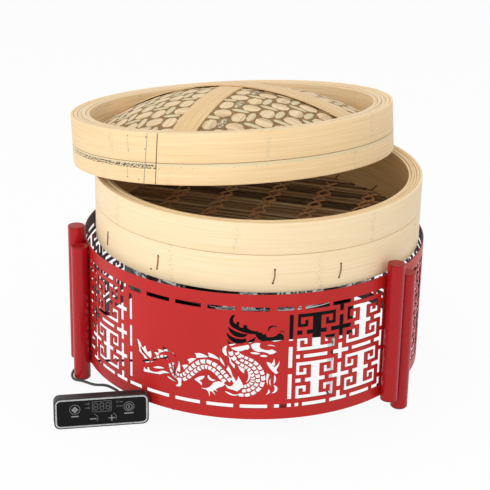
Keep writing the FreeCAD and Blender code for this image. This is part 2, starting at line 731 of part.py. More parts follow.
def cap(azimuth, z, up):
    disc = cylinder(POST_DIAMETER / 2, 0, CAP_THICKNESS)
    rim = [e for e in disc.Edges if abs(e.BoundBox.ZMin - CAP_THICKNESS) < 1e-6]
    disc = disc.makeFillet(CAP_BEVEL, rim)
    plug = cylinder(POST_DIAMETER / 2 - POST_WALL - FIT_GAP, -CAP_PLUG_LENGTH, 0)
    shape = disc.fuse(plug).removeSplitter()
    if not up:
        shape = shape.mirror(ORIGIN, UP)
    centre = polar(POST_CENTRE_RADIUS, azimuth, z)
    return moved(shape, centre.x, centre.y, centre.z)


def strap_screw(azimuth, level):
    seat = PANEL_INNER - FIT_GAP - STRAP_THICKNESS - SCREW_SEAT_GAP
    tip = PANEL_RADIUS + POST_GAP + POST_WALL + 2
    shank = Part.makeCylinder(SCREW_DIAMETER / 2, tip - seat, FreeCAD.Vector(0, -seat, 0),
                              FreeCAD.Vector(0, -1, 0))
    head = Part.makeCylinder(SCREW_HEAD_DIAMETER / 2, SCREW_HEAD_HEIGHT,
                             FreeCAD.Vector(0, -seat + SCREW_HEAD_HEIGHT, 0), FreeCAD.Vector(0, -1, 0))
    return turned(moved(head.fuse(shank).removeSplitter(), 0, 0, PANEL_LIFT + level), azimuth)


def make_posts():
    caps = []
    pads = []
    straps = []
    screws = []
    names = ("front_left", "front_right", "rear")
    for name, azimuth in zip(names, PAIR_AZIMUTHS):
        low_post = azimuth + HALF_POST_ANGLE
        high_post = azimuth - HALF_POST_ANGLE
        for level_name, place, bottom in (("low", low_post, PAD_THICKNESS),
                                          ("high", high_post, PAD_THICKNESS + HIGH_POST_RISE)):
            save(name + "_" + level_name + "_post", post(place, bottom))
            caps.append(cap(place, bottom + CAP_THICKNESS, False))
            caps.append(cap(place, bottom + POST_LENGTH - CAP_THICKNESS, True))
            screws += [strap_screw(place, level) for level in STRAP_LEVELS]
        centre = polar(POST_CENTRE_RADIUS, low_post, 0)
        pads.append(cylinder(PAD_DIAMETER / 2, 0, PAD_THICKNESS, centre.x, centre.y))
        half_strap = HALF_POST_ANGLE + math.degrees(STRAP_OVERHANG / PANEL_INNER)
        for level in STRAP_LEVELS:
            bottom = PANEL_LIFT + level - STRAP_HEIGHT / 2
            outer = PANEL_INNER - FIT_GAP
            strap = sector(outer, outer - STRAP_THICKNESS, bottom, bottom + STRAP_HEIGHT,
                           azimuth - half_strap, azimuth + half_strap)
            holes = [screw_hole(place, level) for place in (low_post, high_post)]
            straps.append(strap.cut(holes))
    save("post_caps", group(caps))
    save("post_pads", group(pads))
    save("post_straps", group(straps))
    save("strap_screws", group(screws))


make_posts()


# Stand under the hob, in the hob's own turned frame
def in_hob_frame(shape):
    return moved(turned(shape, HOB_TURN), HOB_CENTRE_X, HOB_CENTRE_Y)


RAIL_TOP = HOB_BOTTOM - HOB_FOOT_HEIGHT
RAIL_BOTTOM = RAIL_TOP - RAIL_THICKNESS
CROSS_BOTTOM = RAIL_BOTTOM - RAIL_THICKNESS


def make_stand():
    rails = []
    cross_rails = []
    legs = []
    pads = []
    half = RAIL_WIDTH / 2
    for side in (-1, 1):
        x = side * RAIL_OFFSET
        rails.append(box(x - half, x + half, -RAIL_LENGTH / 2, RAIL_LENGTH / 2, RAIL_BOTTOM, RAIL_TOP))
        y = side * CROSS_RAIL_OFFSET
        end = RAIL_OFFSET + half
        cross_rails.append(box(-end, end, y - half, y + half, CROSS_BOTTOM, RAIL_BOTTOM))
        for front in (-1, 1):
            leg_y = front * LEG_OFFSET
            legs.append(box(x - LEG_THICKNESS / 2, x + LEG_THICKNESS / 2, leg_y - LEG_WIDTH / 2,
                            leg_y + LEG_WIDTH / 2, STAND_PAD_THICKNESS, RAIL_BOTTOM))
            pads.append(box(x - LEG_THICKNESS, x + LEG_THICKNESS, leg_y - LEG_WIDTH / 2,
                            leg_y + LEG_WIDTH / 2, 0, STAND_PAD_THICKNESS))
    save("stand_rails", in_hob_frame(group(rails + cross_rails)))
    save("stand_legs", in_hob_frame(group(legs)))
    save("stand_pads", in_hob_frame(group(pads)))


make_stand()


def make_tabs():
    """Angle tabs inside the panels that keep the ring centred round the stand."""
    tabs = []
    outer = PANEL_INNER - FIT_GAP
    for azimuth in TAB_AZIMUTHS:
        bottom = PANEL_LIFT + TAB_LEVEL
        half = TAB_WIDTH / 2
        upright = box(-half, half, -outer, -outer + TAB_THICKNESS, bottom, bottom + TAB_HEIGHT)
        foot = box(-half, half, -outer, -outer + TAB_FOOT, bottom, bottom + TAB_THICKNESS)
        tab = upright.fuse(foot).removeSplitter().common(cylinder(outer, 0, PANEL_TOP))
        tabs.append(turned(tab, azimuth))
    save("centring_tabs", group(tabs))


make_tabs()


# Induction hob, in its own turned frame
HOB_TOP = HOB_BOTTOM + HOB_HEIGHT
GLASS_BOTTOM = HOB_TOP - GLASS_THICKNESS
BEZEL_BOTTOM = HOB_TOP - BEZEL_HEIGHT
HOB_FLOOR = HOB_BOTTOM + HOB_WALL
HOB_INNER_SIDE = HOB_SIDE - 2 * HOB_WALL
HOB_INNER_RADIUS = HOB_CORNER_RADIUS - HOB_WALL
BOARD_BOTTOM = HOB_FLOOR + BOARD_STANDOFF
GLAND_X = (LEAD_ROUTE[0][0] - HOB_CENTRE_X) * math.cos(math.radians(HOB_TURN)) \
    + (LEAD_ROUTE[0][1] - HOB_CENTRE_Y) * math.sin(math.radians(HOB_TURN))
GLAND_Y = -(LEAD_ROUTE[0][0] - HOB_CENTRE_X) * math.sin(math.radians(HOB_TURN)) \
    + (LEAD_ROUTE[0][1] - HOB_CENTRE_Y) * math.cos(math.radians(HOB_TURN))


def corner_places(inset):
    place = HOB_SIDE / 2 - inset
    return [(x * place, y * place) for x in (-1, 1) for y in (-1, 1)]


def inlet_block(gap, depth):
    half = INLET_WIDTH / 2 + gap
    bottom = HOB_FLOOR + INLET_LIFT
    return box(INLET_X - half, INLET_X + half, HOB_SIDE / 2 - depth, HOB_SIDE / 2 + gap,
               bottom - gap, bottom + INLET_HEIGHT + gap)


def make_housing():
    shell = rounded_box(HOB_SIDE, HOB_SIDE, HOB_BOTTOM, BEZEL_BOTTOM, HOB_CORNER_RADIUS)
    shell = shell.cut(rounded_box(HOB_INNER_SIDE, HOB_INNER_SIDE, HOB_FLOOR, HOB_TOP, HOB_INNER_RADIUS))
    vent_bottom = HOB_BOTTOM + HOB_HEIGHT / 2 - VENT_HEIGHT / 2
    cuts = []
    for index in range(VENT_COUNT):
        x = (index - (VENT_COUNT - 1) / 2) * VENT_PITCH
        slot = box(x - VENT_WIDTH / 2, x + VENT_WIDTH / 2, HOB_SIDE / 2 - 3 * HOB_WALL, HOB_SIDE,
                   vent_bottom, vent_bottom + VENT_HEIGHT)
        cuts += [slot, turned(slot, 90), turned(slot, 270)]
        floor_slot = box(x - VENT_WIDTH / 2, x + VENT_WIDTH / 2, -FAN_BORE / 3, FAN_BORE / 3,
                         HOB_BOTTOM - 1, HOB_FLOOR + 1)
        if abs(x) < FAN_BORE / 3:
            cuts.append(moved(floor_slot, FAN_X, FAN_Y))
    cuts.append(inlet_block(FIT_GAP, 3 * HOB_WALL))
    cuts.append(cylinder(GLAND_DIAMETER / 2, HOB_BOTTOM - 1, HOB_FLOOR + 1, GLAND_X, GLAND_Y))
    pillars = []
    for x, y in corner_places(BASE_SCREW_INSET):
        pillars.append(cylinder(SCREW_DIAMETER, HOB_FLOOR, BEZEL_BOTTOM, x, y))
        cuts.append(cylinder(SCREW_HOLE_RADIUS, HOB_BOTTOM - 1, HOB_FLOOR + 4 * SCREW_DIAMETER, x, y))
    for x in (-1, 1):
        for y in (-1, 1):
            peg_x = BOARD_X + x * (BOARD_LENGTH / 2 - PEG_INSET)
            peg_y = BOARD_Y + y * (BOARD_WIDTH / 2 - PEG_INSET)
            pillars.append(cylinder(PEG_RADIUS, HOB_FLOOR, BOARD_BOTTOM, peg_x, peg_y))
    save("hob_housing", in_hob_frame(shell.fuse(pillars).cut(cuts).removeSplitter()))
    bezel = rounded_box(HOB_SIDE, HOB_SIDE, BEZEL_BOTTOM, HOB_TOP, HOB_CORNER_RADIUS)
    window = HOB_SIDE - 2 * GLASS_INSET
    glass_radius = HOB_CORNER_RADIUS - GLASS_INSET
    ledge = window - 4 * GLASS_INSET
    bezel = bezel.cut(rounded_box(window, window, GLASS_BOTTOM, HOB_TOP + 1, glass_radius))
    bezel = bezel.cut(rounded_box(ledge, ledge, BEZEL_BOTTOM - 1, HOB_TOP, glass_radius))
    save("hob_bezel", in_hob_frame(bezel))
    pane = window - 2 * FIT_GAP
    save("glass_top", in_hob_frame(rounded_box(pane, pane, GLASS_BOTTOM, HOB_TOP, glass_radius - FIT_GAP)))


make_housing()


def make_hob_fittings():
    feet = []
    screws = []
    for x, y in corner_places(HOB_FOOT_INSET):
        foot = cylinder(HOB_FOOT_DIAMETER / 2, RAIL_TOP, HOB_BOTTOM, x, y)
        feet.append(foot)
    for x, y in corner_places(BASE_SCREW_INSET):
        shank = cylinder(SCREW_DIAMETER / 2, HOB_BOTTOM, HOB_FLOOR + 3 * SCREW_DIAMETER, x, y)
        head = cylinder(SCREW_HEAD_DIAMETER / 2, HOB_BOTTOM - SCREW_HEAD_HEIGHT, HOB_BOTTOM, x, y)
        screws.append(head.fuse(shank).removeSplitter())
    save("hob_feet", in_hob_frame(group(feet)))
    save("housing_screws", in_hob_frame(group(screws)))


make_hob_fittings()


def make_hob_works():
    coil_top = GLASS_BOTTOM - COIL_GAP
    coil_bottom = coil_top - COIL_THICKNESS
    carrier_bottom = coil_bottom - CARRIER_THICKNESS
    coil = ring(COIL_OUTER_DIAMETER / 2, COIL_INNER_DIAMETER / 2, coil_bottom, coil_top)
    carrier = cylinder(CARRIER_DIAMETER / 2, carrier_bottom, coil_bottom)
    legs = []
    for azimuth in CARRIER_LEG_AZIMUTHS:
        spot = polar(CARRIER_DIAMETER / 2 - CARRIER_LEG_INSET, azimuth, 0)
        legs.append(cylinder(CARRIER_LEG_RADIUS, HOB_FLOOR, carrier_bottom, spot.x, spot.y))
    save("coil", in_hob_frame(coil))
    save("coil_carrier", in_hob_frame(carrier.fuse(legs).removeSplitter()))
    half = FAN_HOUSING_SIDE / 2
    fan_top = HOB_FLOOR + FAN_HOUSING_HEIGHT
    housing = box(-half, half, -half, half, HOB_FLOOR, fan_top)
    housing = housing.cut(cylinder(FAN_BORE / 2, HOB_FLOOR - 1, fan_top + 1))
    spindle_top = fan_top - FAN_BRIDGE_THICKNESS - FAN_FLOOR_GAP
    bridge = box(-half, half, -FAN_BRIDGE_WIDTH / 2, FAN_BRIDGE_WIDTH / 2, HOB_FLOOR,
                 HOB_FLOOR + FAN_BRIDGE_THICKNESS)
    spindle = cylinder(FAN_SPINDLE_RADIUS, HOB_FLOOR, spindle_top)
    housing = housing.fuse([bridge, spindle]).removeSplitter()
    save("fan_housing", in_hob_frame(moved(housing, FAN_X, FAN_Y)))
    rotor_bottom = HOB_FLOOR + FAN_BRIDGE_THICKNESS + FAN_FLOOR_GAP
    rotor_top = fan_top - FAN_FLOOR_GAP
    hub = cylinder(FAN_HUB_DIAMETER / 2, rotor_bottom, rotor_top)
    blade = box(-FAN_BLADE_THICKNESS / 2, FAN_BLADE_THICKNESS / 2, FAN_HUB_DIAMETER / 2 - FAN_BLADE_THICKNESS,
                FAN_ROTOR_DIAMETER / 2, rotor_bottom + 1, rotor_top - 1)
    blade_middle = FreeCAD.Vector(0, 0, (rotor_bottom + rotor_top) / 2)
    blade.rotate(blade_middle, FreeCAD.Vector(0, 1, 0), FAN_BLADE_LEAN)
    blades = [turned(blade, index * 360 / FAN_BLADE_COUNT) for index in range(FAN_BLADE_COUNT)]
    bore = cylinder(FAN_SPINDLE_RADIUS + SHAFT_GAP, rotor_bottom - 1, spindle_top + RUNNING_GAP)
    rotor = hub.fuse(blades).cut(bore).removeSplitter()
    save("fan_rotor", in_hob_frame(moved(rotor, FAN_X, FAN_Y)))
    board = box(BOARD_X - BOARD_LENGTH / 2, BOARD_X + BOARD_LENGTH / 2, BOARD_Y - BOARD_WIDTH / 2,
                BOARD_Y + BOARD_WIDTH / 2, BOARD_BOTTOM, BOARD_BOTTOM + BOARD_THICKNESS)
    save("power_board", in_hob_frame(board))
    sink_bottom = BOARD_BOTTOM + BOARD_THICKNESS
    half_length = SINK_LENGTH / 2
    half_width = SINK_WIDTH / 2
    sink = box(-half_length, half_length, -half_width, half_width, sink_bottom, sink_bottom + SINK_PLATE)
    fins = []
    for index in range(SINK_FINS):
        y = -half_width + index * (SINK_WIDTH - SINK_FIN) / (SINK_FINS - 1)
        fins.append(box(-half_length, half_length, y, y + SINK_FIN, sink_bottom, sink_bottom + SINK_HEIGHT))
    save("heat_sink", in_hob_frame(moved(sink.fuse(fins).removeSplitter(), BOARD_X, BOARD_Y)))


def make_inlet_and_gland():
    block = inlet_block(0, INLET_DEPTH)
    middle = HOB_FLOOR + INLET_LIFT + INLET_HEIGHT / 2
    half_x = INLET_WIDTH / 2 - INLET_WALL
    half_z = INLET_HEIGHT / 2 - INLET_WALL
    back = HOB_SIDE / 2 - INLET_DEPTH + INLET_WALL
    recess = box(INLET_X - half_x, INLET_X + half_x, back, HOB_SIDE, middle - half_z, middle + half_z)
    block = block.cut(recess)
    pins = []
    for x, z in INLET_PINS:
        pins.append(box(INLET_X + x - PIN_WIDTH / 2, INLET_X + x + PIN_WIDTH / 2, back - 1,
                        HOB_SIDE / 2 - INLET_WALL, middle + z - PIN_WIDTH, middle + z + PIN_WIDTH))
    save("mains_inlet", in_hob_frame(block.fuse(pins).removeSplitter()))
    gland = Part.makeCone(GLAND_TIP_DIAMETER / 2, GLAND_DIAMETER / 2, GLAND_LENGTH,
                          FreeCAD.Vector(0, 0, HOB_BOTTOM - GLAND_LENGTH))
    neck = cylinder(GLAND_DIAMETER / 2 - FIT_GAP, HOB_BOTTOM - 1, HOB_FLOOR + 1)
    gland = gland.fuse(neck).removeSplitter()
    save("hob_gland", moved(gland, LEAD_ROUTE[0][0], LEAD_ROUTE[0][1]))


make_hob_works()
make_inlet_and_gland()


# Water pan, spun about the ring's axis: a drawn pan with a rolled rim
def make_pan():
    rim_z = PAN_RIM_HEIGHT - PAN_BEAD_RADIUS
    height = rim_z - HOB_TOP
    outer = Part.makeCone(PAN_BASE_RADIUS, PAN_RIM_RADIUS, height, FreeCAD.Vector(0, 0, HOB_TOP))
    inner = Part.makeCone(PAN_BASE_RADIUS - PAN_WALL, PAN_RIM_RADIUS - PAN_WALL, height,
                          FreeCAD.Vector(0, 0, HOB_TOP + PAN_WALL))
    outer_foot = [e for e in outer.Edges if e.Closed and e.BoundBox.ZMax < HOB_TOP + 1e-6]
    inner_foot = [e for e in inner.Edges if e.Closed and e.BoundBox.ZMax < HOB_TOP + PAN_WALL + 1e-6]
    outer = outer.makeFillet(PAN_CORNER_RADIUS, outer_foot)
    inner = inner.makeFillet(PAN_CORNER_RADIUS - PAN_WALL, inner_foot)
    bead = Part.makeTorus(PAN_RIM_RADIUS + PAN_BEAD_RADIUS - PAN_WALL, PAN_BEAD_RADIUS,
                          FreeCAD.Vector(0, 0, rim_z))
    save("water_pan", outer.cut(inner).fuse(bead).removeSplitter())


make_pan()


# Bamboo steamer base
STEAMER_TOP = STEAMER_BOTTOM + STEAMER_HEIGHT
BATTEN_BOTTOM = PAN_RIM_HEIGHT + RUNNING_GAP
BATTEN_TOP = BATTEN_BOTTOM + BATTEN_HEIGHT
SLAT_TOP = BATTEN_TOP + SLAT_THICKNESS
PLY_STEP = PLY_THICKNESS + PLY_GAP
INNER_PLY_OUTER = STEAMER_RADIUS - BAND_THICKNESS - PLY_GAP - (PLY_COUNT - 1) * PLY_STEP
INNER_PLY_INNER = INNER_PLY_OUTER - PLY_THICKNESS
FLOOR_RADIUS = INNER_PLY_OUTER - PLY_GAP


def steamer(shape):
    return moved(shape, STEAMER_X, STEAMER_Y)


def make_steamer_wall():
    seam = STEAMER_BOTTOM + STEAMER_SEAM
    band_inner = STEAMER_RADIUS - BAND_THICKNESS
    save("base_lower_band", steamer(ring(STEAMER_RADIUS, band_inner, STEAMER_BOTTOM, seam - SEAM_GAP / 2)))
    save("base_upper_band", steamer(ring(STEAMER_RADIUS, band_inner, seam + SEAM_GAP / 2, STEAMER_TOP)))
    plies = []
    for index in range(PLY_COUNT - 1):
        outer = band_inner - PLY_GAP - index * PLY_STEP
        plies.append(ring(outer, outer - PLY_THICKNESS, STEAMER_BOTTOM, STEAMER_TOP))
    save("base_plies", steamer(group(plies)))
    wall = ring(INNER_PLY_OUTER, INNER_PLY_INNER, SLAT_TOP + RUNNING_GAP, STEAMER_TOP)
    save("base_inner_wall", steamer(wall))
    floor_ring = ring(INNER_PLY_OUTER, INNER_PLY_INNER, STEAMER_BOTTOM, BATTEN_TOP)
    notches = [batten(x, PLY_GAP) for x in batten_places()]
    save("base_floor_ring", steamer(floor_ring.cut([turned(notch, SLAT_TURN) for notch in notches])))


def batten_places():
    return [BATTEN_SHIFT + (index - (BATTEN_COUNT - 1) / 2) * BATTEN_PITCH for index in range(BATTEN_COUNT)]


def batten(x, gap):
    half = BATTEN_WIDTH / 2 + gap
    return box(x - half, x + half, -STEAMER_RADIUS, STEAMER_RADIUS, BATTEN_BOTTOM - gap, BATTEN_TOP + gap)


def make_steamer_floor():
    rim = cylinder(FLOOR_RADIUS, STEAMER_BOTTOM, STEAMER_TOP)
    battens = [batten(x, 0).common(rim) for x in batten_places()]
    save("floor_battens", steamer(turned(group(battens), SLAT_TURN)))
    slats = []
    ties = []
    count = int(2 * INNER_PLY_INNER // SLAT_PITCH)
    for index in range(count):
        y = (index - (count - 1) / 2) * SLAT_PITCH
        slat = box(-STEAMER_RADIUS, STEAMER_RADIUS, y - SLAT_WIDTH / 2, y + SLAT_WIDTH / 2,
                   BATTEN_TOP, SLAT_TOP)
        slats.append(slat.common(rim))
        for x in batten_places():
            if math.hypot(x, abs(y) + SLAT_PITCH / 2) > INNER_PLY_INNER - TIE_REACH:
                continue
            lean = math.degrees(math.atan2(TIE_REACH, SLAT_PITCH)) * (1 if index % 2 else -1)
            tie = box(-TIE_DIAMETER / 2, TIE_DIAMETER / 2, -SLAT_PITCH / 2, SLAT_PITCH / 2,
                      SLAT_TOP, SLAT_TOP + TIE_DIAMETER)
            ties.append(moved(turned(tie, lean), x, y))
    save("floor_slats", steamer(turned(group(slats), SLAT_TURN)))
    save("floor_ties", steamer(turned(group(ties), SLAT_TURN)))


def make_stitches():
    stitches = []
    for azimuth in STITCH_AZIMUTHS:
        near = STEAMER_RADIUS + FIT_GAP / 2
        stitch = box(-STITCH_WIDTH / 2, STITCH_WIDTH / 2, -near - STITCH_DEPTH, -near, STITCH_BOTTOM,
                     STITCH_BOTTOM + STITCH_HEIGHT)
        stitches.append(turned(stitch, azimuth))
    save("base_stitches", steamer(group(stitches)))


make_steamer_wall()
make_steamer_floor()
make_stitches()


# Lid
def lid(shape):
    copy = shape.copy()
    copy.rotate(ORIGIN, FreeCAD.Vector(1, 0, 0), LID_TILT_X)
    copy.rotate(ORIGIN, FreeCAD.Vector(0, 1, 0), LID_TILT_Y)
    copy.translate(FreeCAD.Vector(LID_X, LID_Y, LID_Z))
    return copy


LID_BAND_INNER = LID_RADIUS - BAND_THICKNESS
LID_CORE_INNER = LID_BAND_INNER - PLY_GAP - LID_CORE_THICKNESS
LID_PLY_STEP = LID_PLY_THICKNESS + PLY_GAP
LID_INNER = LID_CORE_INNER - LID_PLY_COUNT * LID_PLY_STEP
WEAVE_RING_OUTER = LID_INNER - PLY_GAP
DOME_EDGE_RADIUS = WEAVE_RING_OUTER
DOME_EDGE = WEAVE_RING_LEVEL + WEAVE_RING_HEIGHT + RUNNING_GAP
DOME_RISE = DOME_CROWN - DOME_EDGE
DOME_RADIUS = (DOME_EDGE_RADIUS ** 2 + DOME_RISE ** 2) / (2 * DOME_RISE)


def dome_shell(lift, thickness, edge_radius):
    centre = FreeCAD.Vector(0, 0, DOME_CROWN - DOME_RADIUS)
    outer = Part.makeSphere(DOME_RADIUS + lift + thickness, centre, UP, -90, 90, 360)
    inner = Part.makeSphere(DOME_RADIUS + lift, centre, UP, -90, 90, 360)
    column = cylinder(edge_radius, DOME_EDGE, LID_HEIGHT + DOME_CROWN)
    return outer.cut(inner).common(column)


def make_lid_rim():
    save("lid_lower_band", lid(ring(LID_RADIUS, LID_BAND_INNER, 0, LID_SEAM - SEAM_GAP / 2)))
    save("lid_upper_band", lid(ring(LID_RADIUS, LID_BAND_INNER, LID_SEAM + SEAM_GAP / 2, LID_HEIGHT)))
    save("lid_core", lid(ring(LID_BAND_INNER - PLY_GAP, LID_CORE_INNER, 0, LID_HEIGHT)))
    plies = []
    for index in range(LID_PLY_COUNT):
        outer = LID_CORE_INNER - PLY_GAP - index * LID_PLY_STEP
        plies.append(ring(outer, outer - LID_PLY_THICKNESS, LID_PLY_BOTTOM, LID_HEIGHT))
    save("lid_plies", lid(group(plies)))
    weave_ring = ring(WEAVE_RING_OUTER, WEAVE_RING_OUTER - WEAVE_RING_THICKNESS, WEAVE_RING_LEVEL,
                      WEAVE_RING_LEVEL + WEAVE_RING_HEIGHT)
    save("weave_ring", lid(weave_ring))


def lid_strap(width, turn, shift, lift):
    reach = DOME_EDGE_RADIUS - WEAVE_RING_THICKNESS
    shell = dome_shell(lift, STRAP_SHEET, reach)
    slab = box(-LID_RADIUS, LID_RADIUS, shift - width / 2, shift + width / 2, 0, LID_HEIGHT + DOME_CROWN)
    return lid(shell.common(turned(slab, turn)))


def make_lid_top():
    save("woven_dome", lid(dome_shell(-DOME_THICKNESS, DOME_THICKNESS, DOME_EDGE_RADIUS)))
    save("lid_strap_a", lid_strap(STRAP_A_WIDTH, STRAP_A_TURN, STRAP_A_SHIFT, RUNNING_GAP))
    over = 2 * RUNNING_GAP + STRAP_SHEET
    save("lid_strap_b", lid_strap(STRAP_B_WIDTH, STRAP_B_TURN, STRAP_B_SHIFT, over))


make_lid_rim()
make_lid_top()


# Control box, standing on its long edge, in its own turned frame: x along, y into its depth
def in_box_frame(shape):
    return moved(turned(shape, BOX_TURN), BOX_X, BOX_Y)


def slab(inset, y0, y1, radius):
    block = box(inset, BOX_LENGTH - inset, y0, y1, inset, BOX_HEIGHT - inset)
    deep = [e for e in block.Edges if abs(e.BoundBox.YLength - (y1 - y0)) < 1e-6]
    return block.makeFillet(radius, deep)


def rounded_back(block, y, radius):
    rim = [e for e in block.Edges if e.BoundBox.YMin > y - 1e-6]
    return block.makeFillet(radius, rim)


def deep_cylinder(radius, y0, y1, x, z):
    return Part.makeCylinder(radius, y1 - y0, FreeCAD.Vector(x, y0, z), FreeCAD.Vector(0, 1, 0))


KEYS = (
    ("menu_key", MENU_KEY, ROUND_KEY_DIAMETER / 2),
    ("minus_key", MINUS_KEY, BAR_KEY_DIAMETER / 2),
    ("plus_key", PLUS_KEY, BAR_KEY_DIAMETER / 2),
    ("power_key", POWER_KEY, ROUND_KEY_DIAMETER / 2),
)
BOX_SCREW_PLACES = (BOX_SCREW_INSET, BOX_LENGTH - BOX_SCREW_INSET)
BOX_MIDDLE = BOX_HEIGHT / 2
BOX_SCREW_BORE = BOX_SCREW_DIAMETER / 2 + FIT_GAP / 2
SWITCH_HEIGHT = BOX_BOARD_DEPTH - BOX_WALL - RUNNING_GAP - KEY_FLANGE - KEY_TRAVEL - RUNNING_GAP / 3


def display_block(gap, y0, y1):
    half_x = DISPLAY_WIDTH / 2 + gap
    half_z = DISPLAY_HEIGHT / 2 + gap
    return box(DISPLAY_X - half_x, DISPLAY_X + half_x, y0, y1, DISPLAY_Z - half_z, DISPLAY_Z + half_z)


def make_control_box():
    face_radius = BOX_CORNER_RADIUS - FACE_INSET
    cavity_radius = BOX_CORNER_RADIUS - BOX_WALL
    window_cuts = [display_block(FIT_GAP, -1, BOX_SPLIT)]
    for name, place, radius in KEYS:
        window_cuts.append(deep_cylinder(radius + RUNNING_GAP, -1, BOX_WALL + 1, place[0], place[1]))
    front = slab(0, 0, BOX_SPLIT, BOX_CORNER_RADIUS)
    front = front.cut([slab(BOX_WALL, BOX_WALL, BOX_SPLIT + 1, cavity_radius),
                       slab(FACE_INSET, -1, FACE_THICKNESS, face_radius)])
    board_edge = (BOX_LENGTH - BOX_BOARD_LENGTH) / 2 + BOX_WALL
    bosses = []
    bores = []
    for x in BOX_SCREW_PLACES:
        bosses.append(deep_cylinder(BOX_BOSS_RADIUS, BOX_WALL, BOX_SPLIT, x, BOX_MIDDLE))
        bores.append(deep_cylinder(BOX_SCREW_BORE, 2 * BOX_WALL, BOX_DEPTH, x, BOX_MIDDLE))
    for x in (board_edge, BOX_LENGTH - board_edge):
        for z in (BOX_POST_INSET, BOX_HEIGHT - BOX_POST_INSET):
            bosses.append(deep_cylinder(BOX_WALL - FIT_GAP, BOX_WALL, BOX_BOARD_DEPTH, x, z))
    front = front.fuse(bosses).cut(window_cuts + bores).removeSplitter()
    save("box_front_shell", in_box_frame(front))
    face = slab(FACE_INSET + FIT_GAP, 0, FACE_THICKNESS, face_radius - FIT_GAP)
    save("box_face_panel", in_box_frame(face.cut(window_cuts)))
    save("display", in_box_frame(display_block(0, FIT_GAP, BOX_BOARD_DEPTH)))

    back = rounded_back(slab(0, BOX_SPLIT, BOX_DEPTH, BOX_CORNER_RADIUS), BOX_DEPTH, BOX_BACK_ROUNDING)
    cavity_end = BOX_DEPTH - BOX_WALL
    cavity = rounded_back(slab(BOX_WALL, BOX_SPLIT - 1, cavity_end, cavity_radius), cavity_end,
                          BOX_BACK_ROUNDING - BOX_WALL)
    back = back.cut(cavity)
    tubes = []
    holes = [deep_cylinder(BOX_GLAND_DIAMETER / 2, BOX_SPLIT, BOX_DEPTH + 1, BOX_GLAND[0], BOX_GLAND[1])]
    head_seat = BOX_DEPTH - BOX_WALL
    screws = []
    for x in BOX_SCREW_PLACES:
        tubes.append(deep_cylinder(BOX_BOSS_RADIUS, BOX_SPLIT, head_seat + 1, x, BOX_MIDDLE))
        holes.append(deep_cylinder(BOX_SCREW_BORE, BOX_SPLIT - 1, BOX_DEPTH, x, BOX_MIDDLE))
        holes.append(deep_cylinder(BOX_SCREW_HEAD / 2 + FIT_GAP, head_seat, BOX_DEPTH + 1, x, BOX_MIDDLE))
        shank = deep_cylinder(BOX_SCREW_DIAMETER / 2, 3 * BOX_WALL, head_seat, x, BOX_MIDDLE)
        head_end = head_seat + BOX_SCREW_HEAD_HEIGHT
        head = deep_cylinder(BOX_SCREW_HEAD / 2, head_seat, head_end, x, BOX_MIDDLE)
        screws.append(shank.fuse(head).removeSplitter())
    save("box_back_shell", in_box_frame(back.fuse(tubes).cut(holes).removeSplitter()))
    save("box_screws", in_box_frame(group(screws)))


def make_keys():
    for name, place, radius in KEYS:
        x, z = place
        stem = deep_cylinder(radius, -KEY_PROUD, BOX_WALL + RUNNING_GAP, x, z)
        front_rim = [e for e in stem.Edges if e.Closed and e.BoundBox.YMax < 0]
        stem = stem.makeFillet(KEY_PROUD / 2, front_rim)
        seat = BOX_WALL + RUNNING_GAP
        flange = deep_cylinder(radius + KEY_FLANGE, seat, seat + KEY_FLANGE, x, z)
        save(name, in_box_frame(stem.fuse(flange).removeSplitter()))


def make_box_board():
    edge = (BOX_LENGTH - BOX_BOARD_LENGTH) / 2
    board = box(edge, BOX_LENGTH - edge, BOX_BOARD_DEPTH, BOX_BOARD_DEPTH + BOX_BOARD_THICKNESS,
                BOX_BOARD_INSET, BOX_HEIGHT - BOX_BOARD_INSET)
    switches = []
    for name, place, radius in KEYS:
        switches.append(deep_cylinder(radius / 2, BOX_BOARD_DEPTH - SWITCH_HEIGHT, BOX_BOARD_DEPTH,
                                      place[0], place[1]))
    save("box_board", in_box_frame(board.fuse(switches).removeSplitter()))


def make_box_gland():
    x, z = BOX_GLAND
    neck = deep_cylinder(BOX_GLAND_DIAMETER / 2 - FIT_GAP, BOX_DEPTH - 2 * BOX_WALL, BOX_DEPTH + 1, x, z)
    cone = Part.makeCone(BOX_GLAND_DIAMETER / 2, BOX_GLAND_TIP_DIAMETER / 2, BOX_GLAND_LENGTH,
                         FreeCAD.Vector(x, BOX_DEPTH, z), FreeCAD.Vector(0, 1, 0))
    save("box_gland", in_box_frame(cone.fuse(neck).removeSplitter()))


make_control_box()
make_keys()
make_box_board()
make_box_gland()


# Lead from the hob to the control box: straight runs joined by tangent arcs
def rounded_path(points):
    """Edges of the path, its least radius and its length."""
    places = [FreeCAD.Vector(*point) for point in points]
    edges = []
    radii = []
    start = places[0]
    for before, corner, after in zip(places, places[1:], places[2:]):
        way_in = corner - before
        way_out = after - corner
        turn = way_in.getAngle(way_out)
        shorter = min(way_in.Length, way_out.Length)
        radius = 0.45 * shorter / math.tan(turn / 2)
        radii.append(radius)
        way_in.normalize()
        way_out.normalize()
        trim = 0.45 * shorter
        arc_start = corner - way_in * trim
        arc_end = corner + way_out * trim
        bisector = way_out - way_in
        bisector.normalize()
        to_centre = radius / math.cos(turn / 2)
        middle = corner + bisector * (to_centre - radius)
        edges.append(Part.makeLine(start, arc_start))
        edges.append(Part.Arc(arc_start, middle, arc_end).toShape())
        start = arc_end
    edges.append(Part.makeLine(start, places[-1]))
    return edges, radii, sum(edge.Length for edge in edges)


